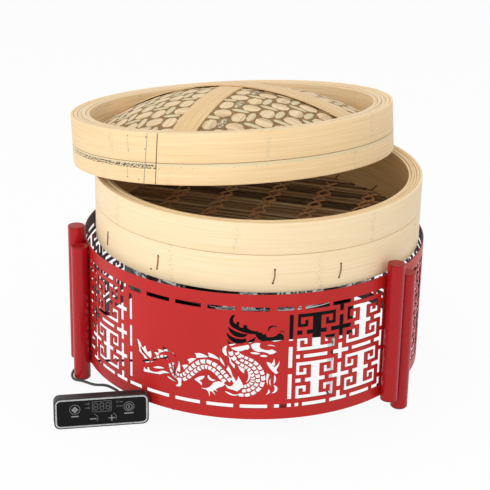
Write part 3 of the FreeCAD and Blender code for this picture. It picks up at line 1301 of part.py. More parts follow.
def make_lead():
    edges, radii, length = rounded_path(LEAD_ROUTE)
    path = Part.Wire(edges)
    start = FreeCAD.Vector(*LEAD_ROUTE[0])
    direction = FreeCAD.Vector(*LEAD_ROUTE[1]) - start
    circle = Part.Wire(Part.makeCircle(LEAD_DIAMETER / 2, start, direction))
    tube = path.makePipeShell([circle], True, False)
    section = math.pi * LEAD_DIAMETER ** 2 / 4
    print("lead radii", [round(radius, 1) for radius in radii])
    print("lead length", round(length, 1), "volume ratio", round(tube.Volume / (section * length), 4))
    save("control_lead", tube)


make_lead()


def write_parts():
    counted = [shape for name, shape in PARTS.items() if name != "control_lead"]
    bounds = group(counted).optimalBoundingBox(False, False)
    middle = bounds.Center
    print("frame shift", round(-middle.x, 3), round(-middle.y, 3))
    for name, shape in PARTS.items():
        moved(shape, -middle.x, -middle.y).exportStep("parts/" + name + ".step")


write_parts()
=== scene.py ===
"""A dim sum station: a ring of red pierced steel panels on posts, an induction hob with a wired
controller, a steel water pan, and a bamboo steamer whose lid lies ajar."""

import math
import random

import bmesh
import bpy
from mathutils import Euler, Matrix, Vector


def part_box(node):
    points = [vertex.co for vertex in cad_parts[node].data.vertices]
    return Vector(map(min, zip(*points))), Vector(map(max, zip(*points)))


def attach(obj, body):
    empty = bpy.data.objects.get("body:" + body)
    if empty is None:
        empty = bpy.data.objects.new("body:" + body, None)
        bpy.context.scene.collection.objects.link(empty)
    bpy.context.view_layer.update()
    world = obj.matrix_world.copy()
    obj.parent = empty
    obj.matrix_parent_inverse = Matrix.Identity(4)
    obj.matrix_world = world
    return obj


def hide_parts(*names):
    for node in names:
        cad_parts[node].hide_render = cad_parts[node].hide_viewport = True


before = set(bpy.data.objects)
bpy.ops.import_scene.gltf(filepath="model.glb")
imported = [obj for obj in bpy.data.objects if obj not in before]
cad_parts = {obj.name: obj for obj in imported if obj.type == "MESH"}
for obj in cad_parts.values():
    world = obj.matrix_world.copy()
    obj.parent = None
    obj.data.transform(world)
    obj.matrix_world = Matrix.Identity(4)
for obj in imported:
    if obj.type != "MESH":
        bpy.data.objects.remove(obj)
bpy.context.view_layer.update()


# The skirt: three sheets of 1.5 mm steel, laser-cut with square hooks and a dragon, rolled to a
# 510 mm ring and powder-coated red outside. Inside, the coat is a dull brown-black.
RED_COAT = "#BC201D"
INSIDE_COAT = "#3A2422"
COAT_SEAM_RADIUS = 0.2543

# The water pan stands in the middle of the ring, so its box gives the ring's axis.
pan_low, pan_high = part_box("water_pan")
ring_axis = Vector(((pan_low.x + pan_high.x) / 2, (pan_low.y + pan_high.y) / 2, 0))


def tone(code):
    """An sRGB hex code as a linear colour."""
    parts = [int(code[i:i + 2], 16) / 255 for i in (1, 3, 5)]
    return [*(p / 12.92 if p <= 0.04045 else ((p + 0.055) / 1.055) ** 2.4 for p in parts), 1.0]


def new_finish(name, **sockets):
    """A material with its shader's sockets set; a socket's name is written with underscores."""
    finish = bpy.data.materials.new(name)
    finish.use_nodes = True
    tree = finish.node_tree
    shader = tree.nodes["Principled BSDF"]
    for socket, value in sockets.items():
        shader.inputs[socket.replace("_", " ")].default_value = value
    return finish, tree, shader


def add(tree, kind, inputs=None, **settings):
    """Adds one node with its settings, and sets or links its inputs."""
    node = tree.nodes.new("ShaderNode" + kind)
    for key, value in settings.items():
        setattr(node, key, value)
    for key, value in (inputs or {}).items():
        if isinstance(value, bpy.types.NodeSocket):
            tree.links.new(value, node.inputs[key])
        else:
            node.inputs[key].default_value = value
    return node


def dress(finish, *nodes):
    """Gives the finish to CAD pieces that are shown as they are."""
    for node in nodes:
        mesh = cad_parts[node].data
        mesh.materials.clear()
        mesh.materials.append(finish)


def powder_coat(name, outside, inside, roughness):
    """Semi-gloss powder coat: the orange peel of the baked powder, in dimples about 2 mm across, and
    slight changes of tone. What lies within the seam's radius takes the inside colour."""
    finish, tree, shader = new_finish(name, Roughness=roughness, IOR=1.5, Specular_IOR_Level=0.28)
    spot = add(tree, "TexCoord").outputs["Object"]
    peel = add(tree, "TexNoise", {"Vector": spot, "Scale": 420.0, "Detail": 1.0}).outputs["Fac"]
    cloud = add(tree, "TexNoise", {"Vector": spot, "Scale": 7.0, "Detail": 2.0}).outputs["Fac"]
    shift = add(tree, "MapRange", {0: cloud, 1: 0.3, 2: 0.7, 3: 0.94, 4: 1.05}).outputs[0]
    centred = add(tree, "Mapping", {"Vector": spot, "Location": -ring_axis}).outputs[0]
    flat = add(tree, "VectorMath", {0: centred, 1: (1, 1, 0)}, operation="MULTIPLY").outputs[0]
    radius = add(tree, "VectorMath", {0: flat}, operation="LENGTH").outputs["Value"]
    outer = add(tree, "Math", {0: radius, 1: COAT_SEAM_RADIUS}, operation="GREATER_THAN").outputs[0]
    coat = add(tree, "Mix", {0: outer, 6: tone(inside), 7: tone(outside)}, data_type="RGBA").outputs[2]
    shifted = add(tree, "VectorMath", {0: coat, "Scale": shift}, operation="SCALE").outputs[0]
    tree.links.new(shifted, shader.inputs["Base Color"])
    bump = add(tree, "Bump", {"Height": peel, "Strength": 0.12, "Distance": 0.0002}).outputs[0]
    tree.links.new(bump, shader.inputs["Normal"])
    return finish


panel_coat = powder_coat("red powder coat", RED_COAT, INSIDE_COAT, 0.4)
dress(panel_coat, "front_panel", "left_panel", "right_panel")


# Three short tabs of the same sheet, bent and spot-welded inside the skirt, which centre the stand,
# and the straps that tie each pair of posts from inside. Their darker red is painted shade.
TAB_SHADE_RED = "#7E0D11"
tab_shade_coat = powder_coat("red coat on tabs, darkened as painted shade", TAB_SHADE_RED, TAB_SHADE_RED, 0.4)
dress(tab_shade_coat, "centring_tabs", "post_straps")


# The posts: 25 mm round steel tube in three pairs, one of each pair set higher, with a glossier
# enamel of a slightly cooler red, closed at both ends by moulded caps.
POST_RED = "#AC121A"
CAP_RED = "#9A1219"
post_enamel = powder_coat("post enamel", POST_RED, POST_RED, 0.24)
dress(post_enamel, *[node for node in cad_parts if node.endswith("_post")])
cap_plastic = powder_coat("cap plastic", CAP_RED, CAP_RED, 0.34)
dress(cap_plastic, "post_caps")


# Moulded rubber pads under the low posts and rubber feet under the hob, and the zinc-plated screws
# of the straps, of the hob's case and of the controller.
def speckled(name, low, high, scale, roughness, bump_depth, metallic=0.0, specular=0.5):
    """A moulded or blasted surface: two close tones in a fine grain that also stands up a little."""
    finish, tree, shader = new_finish(
        name, Roughness=roughness, Metallic=metallic, Specular_IOR_Level=specular)
    spot = add(tree, "TexCoord").outputs["Object"]
    grain = add(tree, "TexNoise", {"Vector": spot, "Scale": scale, "Detail": 3.0}).outputs["Fac"]
    share = add(tree, "MapRange", {0: grain, 1: 0.35, 2: 0.65}).outputs[0]
    blend = add(tree, "Mix", {0: share, 6: tone(low), 7: tone(high)}, data_type="RGBA").outputs[2]
    tree.links.new(blend, shader.inputs["Base Color"])
    bump = add(tree, "Bump", {"Height": grain, "Strength": 0.3, "Distance": bump_depth}).outputs[0]
    tree.links.new(bump, shader.inputs["Normal"])
    return finish


rubber = speckled("black rubber", "#17171A", "#222226", 900.0, 0.8, 0.0001)
dress(rubber, "post_pads", "hob_feet")
zinc = speckled("zinc plate", "#9D9FA3", "#B4B6BA", 500.0, 0.32, 0.00005, metallic=1.0)
dress(zinc, "strap_screws", "housing_screws", "box_screws")


# The stand: flat steel rails in a light grey textured coat that carry the hob, on four legs of
# polished flat bar with pads of the same grey.
stand_coat = speckled("grey textured coat", "#B9BABD", "#CBCCCE", 700.0, 0.55, 0.0002)
dress(stand_coat, "stand_rails", "stand_pads")
leg_steel = speckled("polished flat bar", "#C6C7CA", "#D2D3D5", 300.0, 0.12, 0.00003, metallic=1.0)
dress(leg_steel, "stand_legs")


# The hob: a folded sheet-steel case in satin black with a slotted side, a bezel screwed over a
# black glass-ceramic plate, and inside it the coil on its carrier, the board, its heat sink and fan.
ZONE_RADIUS = 0.112
ZONE_LINE = 0.0012
hob_coat = speckled("satin black coat", "#0C0C0D", "#141416", 800.0, 0.42, 0.0002, specular=0.25)
dress(hob_coat, "hob_housing", "hob_bezel")
black_plastic = speckled("black moulded plastic", "#151516", "#1F1F21", 600.0, 0.5, 0.0001)
dress(black_plastic, "coil_carrier", "fan_housing", "fan_rotor", "mains_inlet", "hob_gland", "box_gland")
sink_metal = speckled("extruded aluminium", "#A9ABAF", "#BDBFC3", 260.0, 0.4, 0.0001, metallic=1.0)
dress(sink_metal, "heat_sink")


def wound_copper():
    """Flat coil of enamelled wire: rings of 2.4 mm turns about the coil's own middle."""
    finish, tree, shader = new_finish("enamelled copper wire", Roughness=0.35, Metallic=1.0)
    low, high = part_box("coil")
    spot = add(tree, "TexCoord").outputs["Object"]
    centred = add(tree, "Mapping", {"Vector": spot, "Location": -(low + high) / 2}).outputs[0]
    turns = add(tree, "TexWave", {"Vector": centred, "Scale": 130.0}, wave_type="RINGS", rings_direction="Z")
    turn = turns.outputs["Fac"]
    blend = add(tree, "Mix", {0: turn, 6: tone("#5E2E17"), 7: tone("#B8713F")}, data_type="RGBA").outputs[2]
    tree.links.new(blend, shader.inputs["Base Color"])
    bump = add(tree, "Bump", {"Height": turn, "Strength": 0.6, "Distance": 0.001}).outputs[0]
    tree.links.new(bump, shader.inputs["Normal"])
    return finish


def solder_mask():
    """Green lacquer over copper tracks that run in straight lines 5 mm apart."""
    finish, tree, shader = new_finish("green solder mask", Roughness=0.3)
    spot = add(tree, "TexCoord").outputs["Object"]
    tracks = add(tree, "TexBrick", {
        "Vector": spot, "Scale": 1.0, "Mortar Size": 0.0004, "Brick Width": 0.011, "Row Height": 0.005,
        "Color1": tone("#0E4A2A"), "Color2": tone("#115430"), "Mortar": tone("#2C7A4C")}).outputs["Color"]
    tree.links.new(tracks, shader.inputs["Base Color"])
    return finish


dress(wound_copper(), "coil")
dress(solder_mask(), "power_board", "box_board")


def hob_glass():
    """Black glass ceramic, dyed through, with a ring of small grey dots baked on as the cooking zone."""
    finish, tree, shader = new_finish("black glass ceramic", Roughness=0.06, IOR=1.52)
    low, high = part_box("coil")
    spot = add(tree, "TexCoord").outputs["Object"]
    centred = add(tree, "Mapping", {"Vector": spot, "Location": -(low + high) / 2}).outputs[0]
    flat = add(tree, "VectorMath", {0: centred, 1: (1, 1, 0)}, operation="MULTIPLY").outputs[0]
    radius = add(tree, "VectorMath", {0: flat}, operation="LENGTH").outputs["Value"]
    off = add(tree, "Math", {0: radius, 1: ZONE_RADIUS}, operation="SUBTRACT").outputs[0]
    size = add(tree, "Math", {0: off}, operation="ABSOLUTE").outputs[0]
    ring = add(tree, "Math", {0: size, 1: ZONE_LINE}, operation="LESS_THAN").outputs[0]
    smear = add(tree, "TexNoise", {"Vector": spot, "Scale": 30.0, "Detail": 4.0}).outputs["Fac"]
    print_share = add(tree, "Math", {0: ring, 1: smear}, operation="MULTIPLY").outputs[0]
    blend = add(tree, "Mix", {0: print_share, 6: tone("#0A0A0C"), 7: tone("#C9C9CC")}, data_type="RGBA")
    tree.links.new(blend.outputs[2], shader.inputs["Base Color"])
    rough = add(tree, "MapRange", {0: smear, 3: 0.04, 4: 0.12}).outputs[0]
    tree.links.new(rough, shader.inputs["Roughness"])
    return finish


dress(hob_glass(), "glass_top")


# The water pan: a deep-drawn stainless steel pan with a rolled rim, polished on a lathe, which
# leaves fine rings round the wall. It stands on the hob and carries the steamer.
def turned_steel():
    """Steel polished as it turns: bright, with marks 1 mm apart that blur what it reflects a little."""
    finish, tree, shader = new_finish("polished stainless steel", Metallic=1.0, Base_Color=tone("#BDBCBA"))
    spot = add(tree, "TexCoord").outputs["Object"]
    rings = add(tree, "Mapping", {"Vector": spot, "Scale": (3, 3, 900)}).outputs[0]
    marks = add(tree, "TexNoise", {"Vector": rings, "Scale": 1.0, "Detail": 2.0}).outputs["Fac"]
    rough = add(tree, "MapRange", {0: marks, 1: 0.3, 2: 0.7, 3: 0.06, 4: 0.12}).outputs[0]
    tree.links.new(rough, shader.inputs["Roughness"])
    bump = add(tree, "Bump", {"Height": marks, "Strength": 0.08, "Distance": 0.0002}).outputs[0]
    tree.links.new(bump, shader.inputs["Normal"])
    return finish


dress(turned_steel(), "water_pan")


# The steamer base: two broad strips of bamboo bent round and stitched, one over the other, about
# 480 mm across. They show the outer wood, planed pale, with fine fibres and a node every 200 mm.
base_low, base_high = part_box("base_upper_band")
base_axis = Vector(((base_low.x + base_high.x) / 2, (base_low.y + base_high.y) / 2, 0))
BASE_RADIUS = 0.242
BAND_THICKNESS = 0.004
BASE_FOOT = 0.215
BASE_TOP = 0.315
BASE_SEAM = 0.27
SEAM_GAP = 0.0006
BAND_ROUNDING = 0.001
BAND_STEPS = 200
base_place = Matrix.Translation(base_axis)


def band(inner, outer, bottom, top, rounding, matrix):
    """A closed strip: its cross-section, with rounded corners, spun round."""
    shape = bmesh.new()
    outline = ((inner, bottom), (outer, bottom), (outer, top), (inner, top))
    corners = [shape.verts.new((r, 0, z)) for r, z in outline]
    shape.faces.new(corners)
    bmesh.ops.bevel(
        shape, geom=corners, offset=rounding, segments=3, profile=0.5, affect="VERTICES", material=-1)
    bmesh.ops.delete(shape, geom=shape.faces[:], context="FACES_ONLY")
    bmesh.ops.spin(shape, geom=shape.verts[:] + shape.edges[:], cent=(0, 0, 0), axis=(0, 0, 1),
                   angle=math.tau, steps=BAND_STEPS, use_merge=True)
    bmesh.ops.remove_doubles(shape, verts=shape.verts[:], dist=1e-6)
    bmesh.ops.recalc_face_normals(shape, faces=shape.faces[:])
    bmesh.ops.transform(shape, matrix=matrix, verts=shape.verts[:])
    return shape


def place(shape, name, finish, body, replaced=(), sharp=40):
    """Turns a shape into a piece that rides on its body and takes the place of the CAD's own."""
    mesh = bpy.data.meshes.new(name)
    shape.to_mesh(mesh)
    shape.free()
    piece = bpy.data.objects.new(name, mesh)
    bpy.context.scene.collection.objects.link(piece)
    mesh.materials.append(finish)
    mesh.shade_smooth()
    mesh.set_sharp_from_angle(angle=math.radians(sharp))
    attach(piece, body)
    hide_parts(*replaced)
    return piece


def round_strip(tree, centre, tilt, joint):
    """Places on a strip bent round an axis, in metres: along it, up its width, and out from the axis.
    The joint is the azimuth of its lapped ends, half a turn away from where the count starts."""
    spot = add(tree, "TexCoord").outputs["Object"]
    local = add(tree, "Mapping", {"Vector": spot, "Location": centre, "Rotation": tilt}, vector_type="TEXTURE")
    turn = (0, 0, math.radians(180 - joint))
    turned = add(tree, "Mapping", {"Vector": local.outputs[0], "Rotation": turn}).outputs[0]
    axes = add(tree, "SeparateXYZ", {0: turned}).outputs
    front = add(tree, "Math", {0: axes[1], 1: -1.0}, operation="MULTIPLY").outputs[0]
    angle = add(tree, "Math", {0: axes[0], 1: front}, operation="ARCTAN2").outputs[0]
    along = add(tree, "Math", {0: angle, 1: BASE_RADIUS}, operation="MULTIPLY").outputs[0]
    flat = add(tree, "VectorMath", {0: turned, 1: (1, 1, 0)}, operation="MULTIPLY").outputs[0]
    depth = add(tree, "VectorMath", {0: flat}, operation="LENGTH").outputs["Value"]
    return add(tree, "CombineXYZ", {0: along, 1: axes[2], 2: depth}).outputs[0]


def bamboo(name, pale, deep, streak, position, node_start=0.0, node_every=0.2):
    """Split bamboo: long fibres in two close tones, a few warm streaks, flecked rings at its nodes.
    Real fibres lie about 0.5 mm apart. They are drawn 2 mm apart, because finer ones don't show."""
    finish, tree, shader = new_finish(name, Roughness=0.5, IOR=1.5)
    where = position(tree)
    fine_place = add(tree, "Mapping", {"Vector": where, "Scale": (9, 520, 520)}).outputs[0]
    fine = add(tree, "TexNoise", {"Vector": fine_place, "Scale": 1.0, "Detail": 3.0}).outputs["Fac"]
    broad_place = add(tree, "Mapping", {"Vector": where, "Scale": (2.5, 110, 110)}).outputs[0]
    broad = add(tree, "TexNoise", {"Vector": broad_place, "Scale": 1.0, "Detail": 2.0}).outputs["Fac"]
    both = add(tree, "Mix", {0: 0.2, 2: fine, 3: broad}, data_type="FLOAT").outputs[0]
    share = add(tree, "MapRange", {0: both, 1: 0.3, 2: 0.75}).outputs[0]
    wood = add(tree, "Mix", {0: share, 6: tone(pale), 7: tone(deep)}, data_type="RGBA").outputs[2]
    streak_place = add(tree, "Mapping", {
        "Vector": where, "Scale": (6, 380, 380), "Location": (3, 7, 1)}).outputs[0]
    streaks = add(tree, "TexNoise", {"Vector": streak_place, "Scale": 1.0, "Detail": 2.0}).outputs["Fac"]
    streaky = add(tree, "MapRange", {0: streaks, 1: 0.58, 2: 0.8, 4: 0.3}).outputs[0]
    wood = add(tree, "Mix", {0: streaky, 6: wood, 7: tone(streak)}, data_type="RGBA").outputs[2]
    axes = add(tree, "SeparateXYZ", {0: where}).outputs
    lean = add(tree, "Math", {0: broad, 1: 0.012}, operation="MULTIPLY").outputs[0]
    from_start = add(tree, "Math", {0: axes[0], 1: 10 * node_every - node_start}, operation="ADD").outputs[0]
    leaning = add(tree, "Math", {0: from_start, 1: lean}, operation="ADD").outputs[0]
    gap = add(tree, "Math", {0: leaning, 1: node_every / 2}, operation="PINGPONG").outputs[0]
    near = add(tree, "MapRange", {0: gap, 1: 0.0015, 2: 0.007, 3: 1.0, 4: 0.0}).outputs[0]
    flecks = add(tree, "TexNoise", {"Vector": where, "Scale": 420.0, "Detail": 2.0}).outputs["Fac"]
    fleck = add(tree, "MapRange", {0: flecks, 1: 0.5, 2: 0.62}).outputs[0]
    ring = add(tree, "Math", {0: near, 1: fleck}, operation="MULTIPLY").outputs[0]
    ring_share = add(tree, "Math", {0: ring, 1: 0.55}, operation="MULTIPLY").outputs[0]
    wood = add(tree, "Mix", {0: ring_share, 6: wood, 7: tone("#CDBB9C")}, data_type="RGBA").outputs[2]
    height = add(tree, "Math", {0: both, 1: ring}, operation="ADD").outputs[0]
    bump = add(tree, "Bump", {"Height": height, "Strength": 0.25, "Distance": 0.0004}).outputs[0]
    tree.links.new(bump, shader.inputs["Normal"])
    tree.links.new(wood, shader.inputs["Base Color"])
    return finish, tree, shader, where, wood


def on_base(tree):
    return round_strip(tree, base_axis, (0, 0, 0), 180.0)


BASE_TONES = ("#FAE3BF", "#F2D6A4", "#DDB272")
BASE_STRIPS = (("lower", BASE_FOOT, BASE_SEAM - SEAM_GAP / 2, -0.1186, 0.2112),
               ("upper", BASE_SEAM + SEAM_GAP / 2, BASE_TOP, -0.2262, 0.2019))
for level, foot, top, node_start, node_every in BASE_STRIPS:
    strip_bamboo = bamboo(f"base bamboo, {level} strip", *BASE_TONES, on_base, node_start, node_every)[0]
    strip = band(BASE_RADIUS - BAND_THICKNESS, BASE_RADIUS, foot, top, BAND_ROUNDING, base_place)
    place(strip, f"base_{level}_strip", strip_bamboo, "steamer_base", (f"base_{level}_band",))


# The wound plies behind them: a long thin strip of the softer inner wood rolled round four times,
# so the rim shows it as rings of uneven height with dark lines between.
PLY_THICKNESS = 0.0038
PLY_GAP = 0.0003
PLY_COUNT = 4
PLY_DROPS = (0.0004, 0.0012, 0.0006, 0.0016)
PLY_ROUNDING = 0.0009
PLY_TONES = ("#F4DCB2", "#DAB27A", "#A8743C")
ply_bamboo = bamboo("base bamboo, wound plies", *PLY_TONES, on_base, 0.05, 0.22)[0]
outer = BASE_RADIUS - BAND_THICKNESS - PLY_GAP
for number in range(PLY_COUNT - 1):
    ply_top = BASE_TOP - PLY_DROPS[number]
    ply = band(outer - PLY_THICKNESS, outer, BASE_FOOT, ply_top, PLY_ROUNDING, base_place)
    hidden = ("base_plies",) if number == 0 else ()
    place(ply, f"base_ply_{number + 1}", ply_bamboo, "steamer_base", hidden)
    outer -= PLY_THICKNESS + PLY_GAP


# The inmost ply stands on the slats as the inside wall, over a floor ring that carries them.
# Its inner face takes a warmer tan than the plies, and its top edge the plies' paler tone.
WALL_FOOT = 0.2351
WALL_TONES = ("#F2CC92", "#D8AA6A", "#B0854E")
wall_bamboo = bamboo("inside wall bamboo", *WALL_TONES, on_base, 0.03, 0.21)[0]
dress(wall_bamboo, "base_floor_ring")
wall = band(outer - PLY_THICKNESS, outer, WALL_FOOT, BASE_TOP - PLY_DROPS[3], PLY_ROUNDING, base_place)
wall_piece = place(wall, "base_inside_wall", wall_bamboo, "steamer_base", ("base_inner_wall",))
wall_piece.data.materials.append(ply_bamboo)
for face in wall_piece.data.polygons:
    face.material_index = 1 if face.normal.z > 0.3 else 0


# The floor of the steamer: sixteen slats, each a bundle of flat split strips, darkened by steam,
# lying across five battens that are let into the wall.
SLAT_COUNT = 16
SLAT_PITCH = 0.027
SLAT_WIDTH = 0.0215
SLAT_FOOT = 0.2318
SLAT_THICKNESS = 0.003
STRIPS_PER_SLAT = 4
FLOOR_RADIUS = 0.2245
STRIP_INSET = 0.0003
STRIP_ROUNDING = 0.0008
BATTEN_PLACES = (-0.1465, -0.0755, -0.0045, 0.0665, 0.1375)
FLOOR_TURN = -17
floor_place = base_place @ Matrix.Rotation(math.radians(FLOOR_TURN), 4, "Z")
chance = random.Random(7)


def steamed_wood():
    """Old split strips, each with its own steam-darkened tone. Their ridged fibres go near black in the
    hollows, which is painted shade, and dusty tan to pale on the ridges, which is painted highlight.
    """
    finish, tree, shader = new_finish("steam-darkened split bamboo", Roughness=0.6)
    spot = add(tree, "TexCoord").outputs["Object"]
    run = add(tree, "Mapping", {"Vector": spot, "Rotation": (0, 0, math.radians(-FLOOR_TURN))}).outputs[0]
    ridge_place = add(tree, "Mapping", {"Vector": run, "Scale": (7, 520, 300)}).outputs[0]
    ridges = add(tree, "TexNoise", {"Vector": ridge_place, "Scale": 1.0, "Detail": 4.0}).outputs["Fac"]
    own = add(tree, "Attribute", attribute_name="tone").outputs["Fac"]
    both = add(tree, "Mix", {0: 0.4, 2: ridges, 3: own}, data_type="FLOAT").outputs[0]
    # Painted shade in the hollows of the fibres and painted highlight on their ridges.
    low = add(tree, "MapRange", {0: both, 1: 0.3, 2: 0.55}).outputs[0]
    wood = add(tree, "Mix", {0: low, 6: tone("#4A331B"), 7: tone("#B8925F")}, data_type="RGBA").outputs[2]
    high = add(tree, "MapRange", {0: both, 1: 0.55, 2: 0.75}).outputs[0]
    wood = add(tree, "Mix", {0: high, 6: wood, 7: tone("#F0D6A4")}, data_type="RGBA").outputs[2]
    bump = add(tree, "Bump", {"Height": ridges, "Strength": 0.7, "Distance": 0.001}).outputs[0]
    tree.links.new(bump, shader.inputs["Normal"])
    tree.links.new(wood, shader.inputs["Base Color"])
    return finish


slat_wood = steamed_wood()
dress(slat_wood, "floor_battens")
slats = bmesh.new()
slat_tone = slats.faces.layers.float.new("tone")
for number in range(SLAT_COUNT):
    middle = (number - (SLAT_COUNT - 1) / 2) * SLAT_PITCH
    edge = middle - SLAT_WIDTH / 2
    # Each cut lies halfway between an even place and a random one.
    cuts = sorted(chance.uniform(0.15, 0.85) for _ in range(STRIPS_PER_SLAT - 1))
    cuts = [0.0] + [0.5 * cut + 0.5 * (i + 1) / STRIPS_PER_SLAT for i, cut in enumerate(cuts)] + [1.0]
    for low_cut, high_cut in zip(cuts, cuts[1:]):
        low_y = edge + low_cut * SLAT_WIDTH + STRIP_INSET
        high_y = edge + high_cut * SLAT_WIDTH - STRIP_INSET
        reach = math.sqrt(FLOOR_RADIUS ** 2 - max(abs(low_y), abs(high_y)) ** 2)
        height = SLAT_THICKNESS * chance.uniform(0.7, 1.0)
        size = Matrix.Diagonal((2 * reach, high_y - low_y, height, 1))
        spot = Matrix.Translation((0, (low_y + high_y) / 2, SLAT_FOOT + height / 2))
        strip = bmesh.ops.create_cube(slats, size=1.0, matrix=floor_place @ spot @ size)["verts"]
        shade = chance.random()
        for face in {face for vert in strip for face in vert.link_faces}:
            face[slat_tone] = shade
ridges = [ridge for ridge in slats.edges if ridge.calc_length() > SLAT_PITCH]
bmesh.ops.bevel(
    slats, geom=ridges, offset=STRIP_ROUNDING, segments=2, profile=0.5, affect="EDGES", material=-1)
place(slats, "floor_split_strips", slat_wood, "steamer_base", ("floor_slats",))


# The lacing: brown waxed cord that runs to and fro over the slats along each batten and ties
# them down, crossing itself on every slat.
CORD_RADIUS = 0.0015
LACE_REACH = 0.0095
LACE_TOP = SLAT_FOOT + SLAT_THICKNESS + 0.0008
LACE_MARGIN = 0.008
LACE_JITTER = 0.002
LACE_SWING = ((-1, -0.6, -0.002), (-0.88, -0.46, 0), (0.88, 0.4, 0.0006), (1, 0.5, 0))


def twisted_cord(name, dark, light):
    """Waxed two-ply cord, worn lighter in patches, with its plies drawn as coarse bands."""
    finish, tree, shader = new_finish(name, Roughness=0.55)
    spot = add(tree, "TexCoord").outputs["Object"]
    plies = add(tree, "TexWave", {"Vector": spot, "Scale": 260.0, "Distortion": 3.0},
                bands_direction="DIAGONAL").outputs["Fac"]
    worn = add(tree, "TexNoise", {"Vector": spot, "Scale": 120.0, "Detail": 3.0}).outputs["Fac"]
    share = add(tree, "Mix", {0: 0.6, 2: plies, 3: worn}, data_type="FLOAT").outputs[0]
    blend = add(tree, "Mix", {0: share, 6: tone(dark), 7: tone(light)}, data_type="RGBA").outputs[2]
    tree.links.new(blend, shader.inputs["Base Color"])
    bump = add(tree, "Bump", {"Height": plies, "Strength": 0.4, "Distance": 0.0004}).outputs[0]
    tree.links.new(bump, shader.inputs["Normal"])
    return finish


def lace(curve, points):
    """One smooth strand that follows the points."""
    strand = curve.splines.new("NURBS")
    strand.points.add(len(points) - 1)
    for knot, point in zip(strand.points, points):
        knot.co = (*point, 1)
    strand.order_u = 3
    strand.use_endpoint_u = True


def curve_piece(curve, name, finish, body, replaced=()):
    """A bent round strand, made a mesh where it lies."""
    line = bpy.data.objects.new(name + "_line", curve)
    mesh = bpy.data.meshes.new_from_object(line)
    bpy.data.objects.remove(line)
    mesh.materials.clear()
    mesh.materials.append(finish)
    mesh.shade_smooth()
    piece = bpy.data.objects.new(name, mesh)
    bpy.context.scene.collection.objects.link(piece)
    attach(piece, body)
    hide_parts(*replaced)
    return piece


lacing = bpy.data.curves.new("lacing", "CURVE")
lacing.dimensions = "3D"
lacing.bevel_depth = CORD_RADIUS
lacing.bevel_resolution = 2
lacing.resolution_u = 4
lacing.use_fill_caps = True
for batten in BATTEN_PLACES:
    for side in (1, -1):
        points = []
        for number in range(SLAT_COUNT):
            middle = (number - (SLAT_COUNT - 1) / 2) * SLAT_PITCH
            if math.hypot(batten, abs(middle) + SLAT_WIDTH / 2) > FLOOR_RADIUS - LACE_MARGIN:
                continue
            swing = side * (1 if number % 2 else -1)
            jitter = chance.uniform(-LACE_JITTER, LACE_JITTER)
            for across, along, lift in LACE_SWING:
                sideways = batten + swing * across * LACE_REACH + jitter
                point = Vector((sideways, middle + along * SLAT_WIDTH, LACE_TOP + lift))
                points.append(floor_place @ point)
        lace(lacing, points)
cord_finish = twisted_cord("brown waxed cord", "#C9813F", "#FCD096")
curve_piece(lacing, "floor_lacing", cord_finish, "steamer_base", ("floor_ties",))


# The stitches: short waxed threads through punched holes that hold the strips to the plies, four on
# the lower strip, and one bare pilot hole near them. Two of the lacing's ends come through the
# inside wall at the back, where they are knotted.
STITCH_AZIMUTHS = (-62.4, -34.8, 5.2, 27.8)
STITCH_FOOT = 0.229
STITCH_HEAD = 0.249
STITCH_LEAN = 0.3
STITCH_LIFT = 0.0004
STITCH_RADIUS = 0.0008
BOW_LEAN = 0.25
BOW_LIFT = 0.0009
PUNCH_RADIUS = 0.0015
PILOT_HOLE = (-37.6, 0.2262)
INSIDE_RADIUS = 0.2216
LACE_ENDS = (((145.2, 0.2362), (143.6, 0.2435)), ((125.2, 0.2366), (121.9, 0.2476)))
LACE_END_RADIUS = 0.0009
LACE_END_LIFT = -0.0006
# The dark plugs in the punched holes are painted shade, standing for the shade inside the holes.
hole_shade = speckled("painted shade in punched holes", "#1E0F08", "#4A2A16", 600.0, 0.8, 0.0002)


def on_band(azimuth, height, lift, radius=BASE_RADIUS):
    """A point on a strip: degrees round it, height above its foot or the table, and out from it."""
    turn = math.radians(azimuth)
    return Vector(((radius + lift) * math.sin(turn), -(radius + lift) * math.cos(turn), height))


def stick(shape, start, end, radius, sides=8):
    """A short straight rod from start to end."""
    run = end - start
    at = Matrix.Translation((start + end) / 2) @ run.to_track_quat("Z", "Y").to_matrix().to_4x4()
    bmesh.ops.create_cone(shape, cap_ends=True, segments=sides, radius1=radius, radius2=radius,
                          depth=run.length, matrix=at)


def punched(name, holes, radius, matrix, body):
    """Punched holes drawn as painted shade: shallow dark plugs, flush with the wood, for the shade inside each
    hole.
    """
    shape = bmesh.new()
    for azimuth, height in holes:
        stick(shape, on_band(azimuth, height, -0.001), on_band(azimuth, height, 0.0001), radius, 12)
    bmesh.ops.transform(shape, matrix=matrix, verts=shape.verts[:])
    place(shape, name, hole_shade, body)


stitches = bmesh.new()
holes = [PILOT_HOLE]
for azimuth in STITCH_AZIMUTHS:
    foot = on_band(azimuth - STITCH_LEAN, STITCH_FOOT, STITCH_LIFT)
    head = on_band(azimuth + STITCH_LEAN, STITCH_HEAD, STITCH_LIFT)
    bow = on_band(azimuth + BOW_LEAN, (STITCH_FOOT + STITCH_HEAD) / 2, BOW_LIFT)
    stick(stitches, foot, bow, STITCH_RADIUS)
    stick(stitches, bow, head, STITCH_RADIUS)
    holes += [(azimuth - STITCH_LEAN, STITCH_FOOT), (azimuth + STITCH_LEAN, STITCH_HEAD)]
for start, end in LACE_ENDS:
    stick(stitches, on_band(*start, LACE_END_LIFT, INSIDE_RADIUS), on_band(*end, LACE_END_LIFT, INSIDE_RADIUS),
          LACE_END_RADIUS)
bmesh.ops.transform(stitches, matrix=base_place, verts=stitches.verts[:])
dark_thread = twisted_cord("dark waxed thread", "#5A3018", "#8E5530")
place(stitches, "base_thread_stitches", dark_thread, "steamer_base", ("base_stitches",))
punched("base_stitch_hole_shade", holes, PUNCH_RADIUS, base_place, "steamer_base")


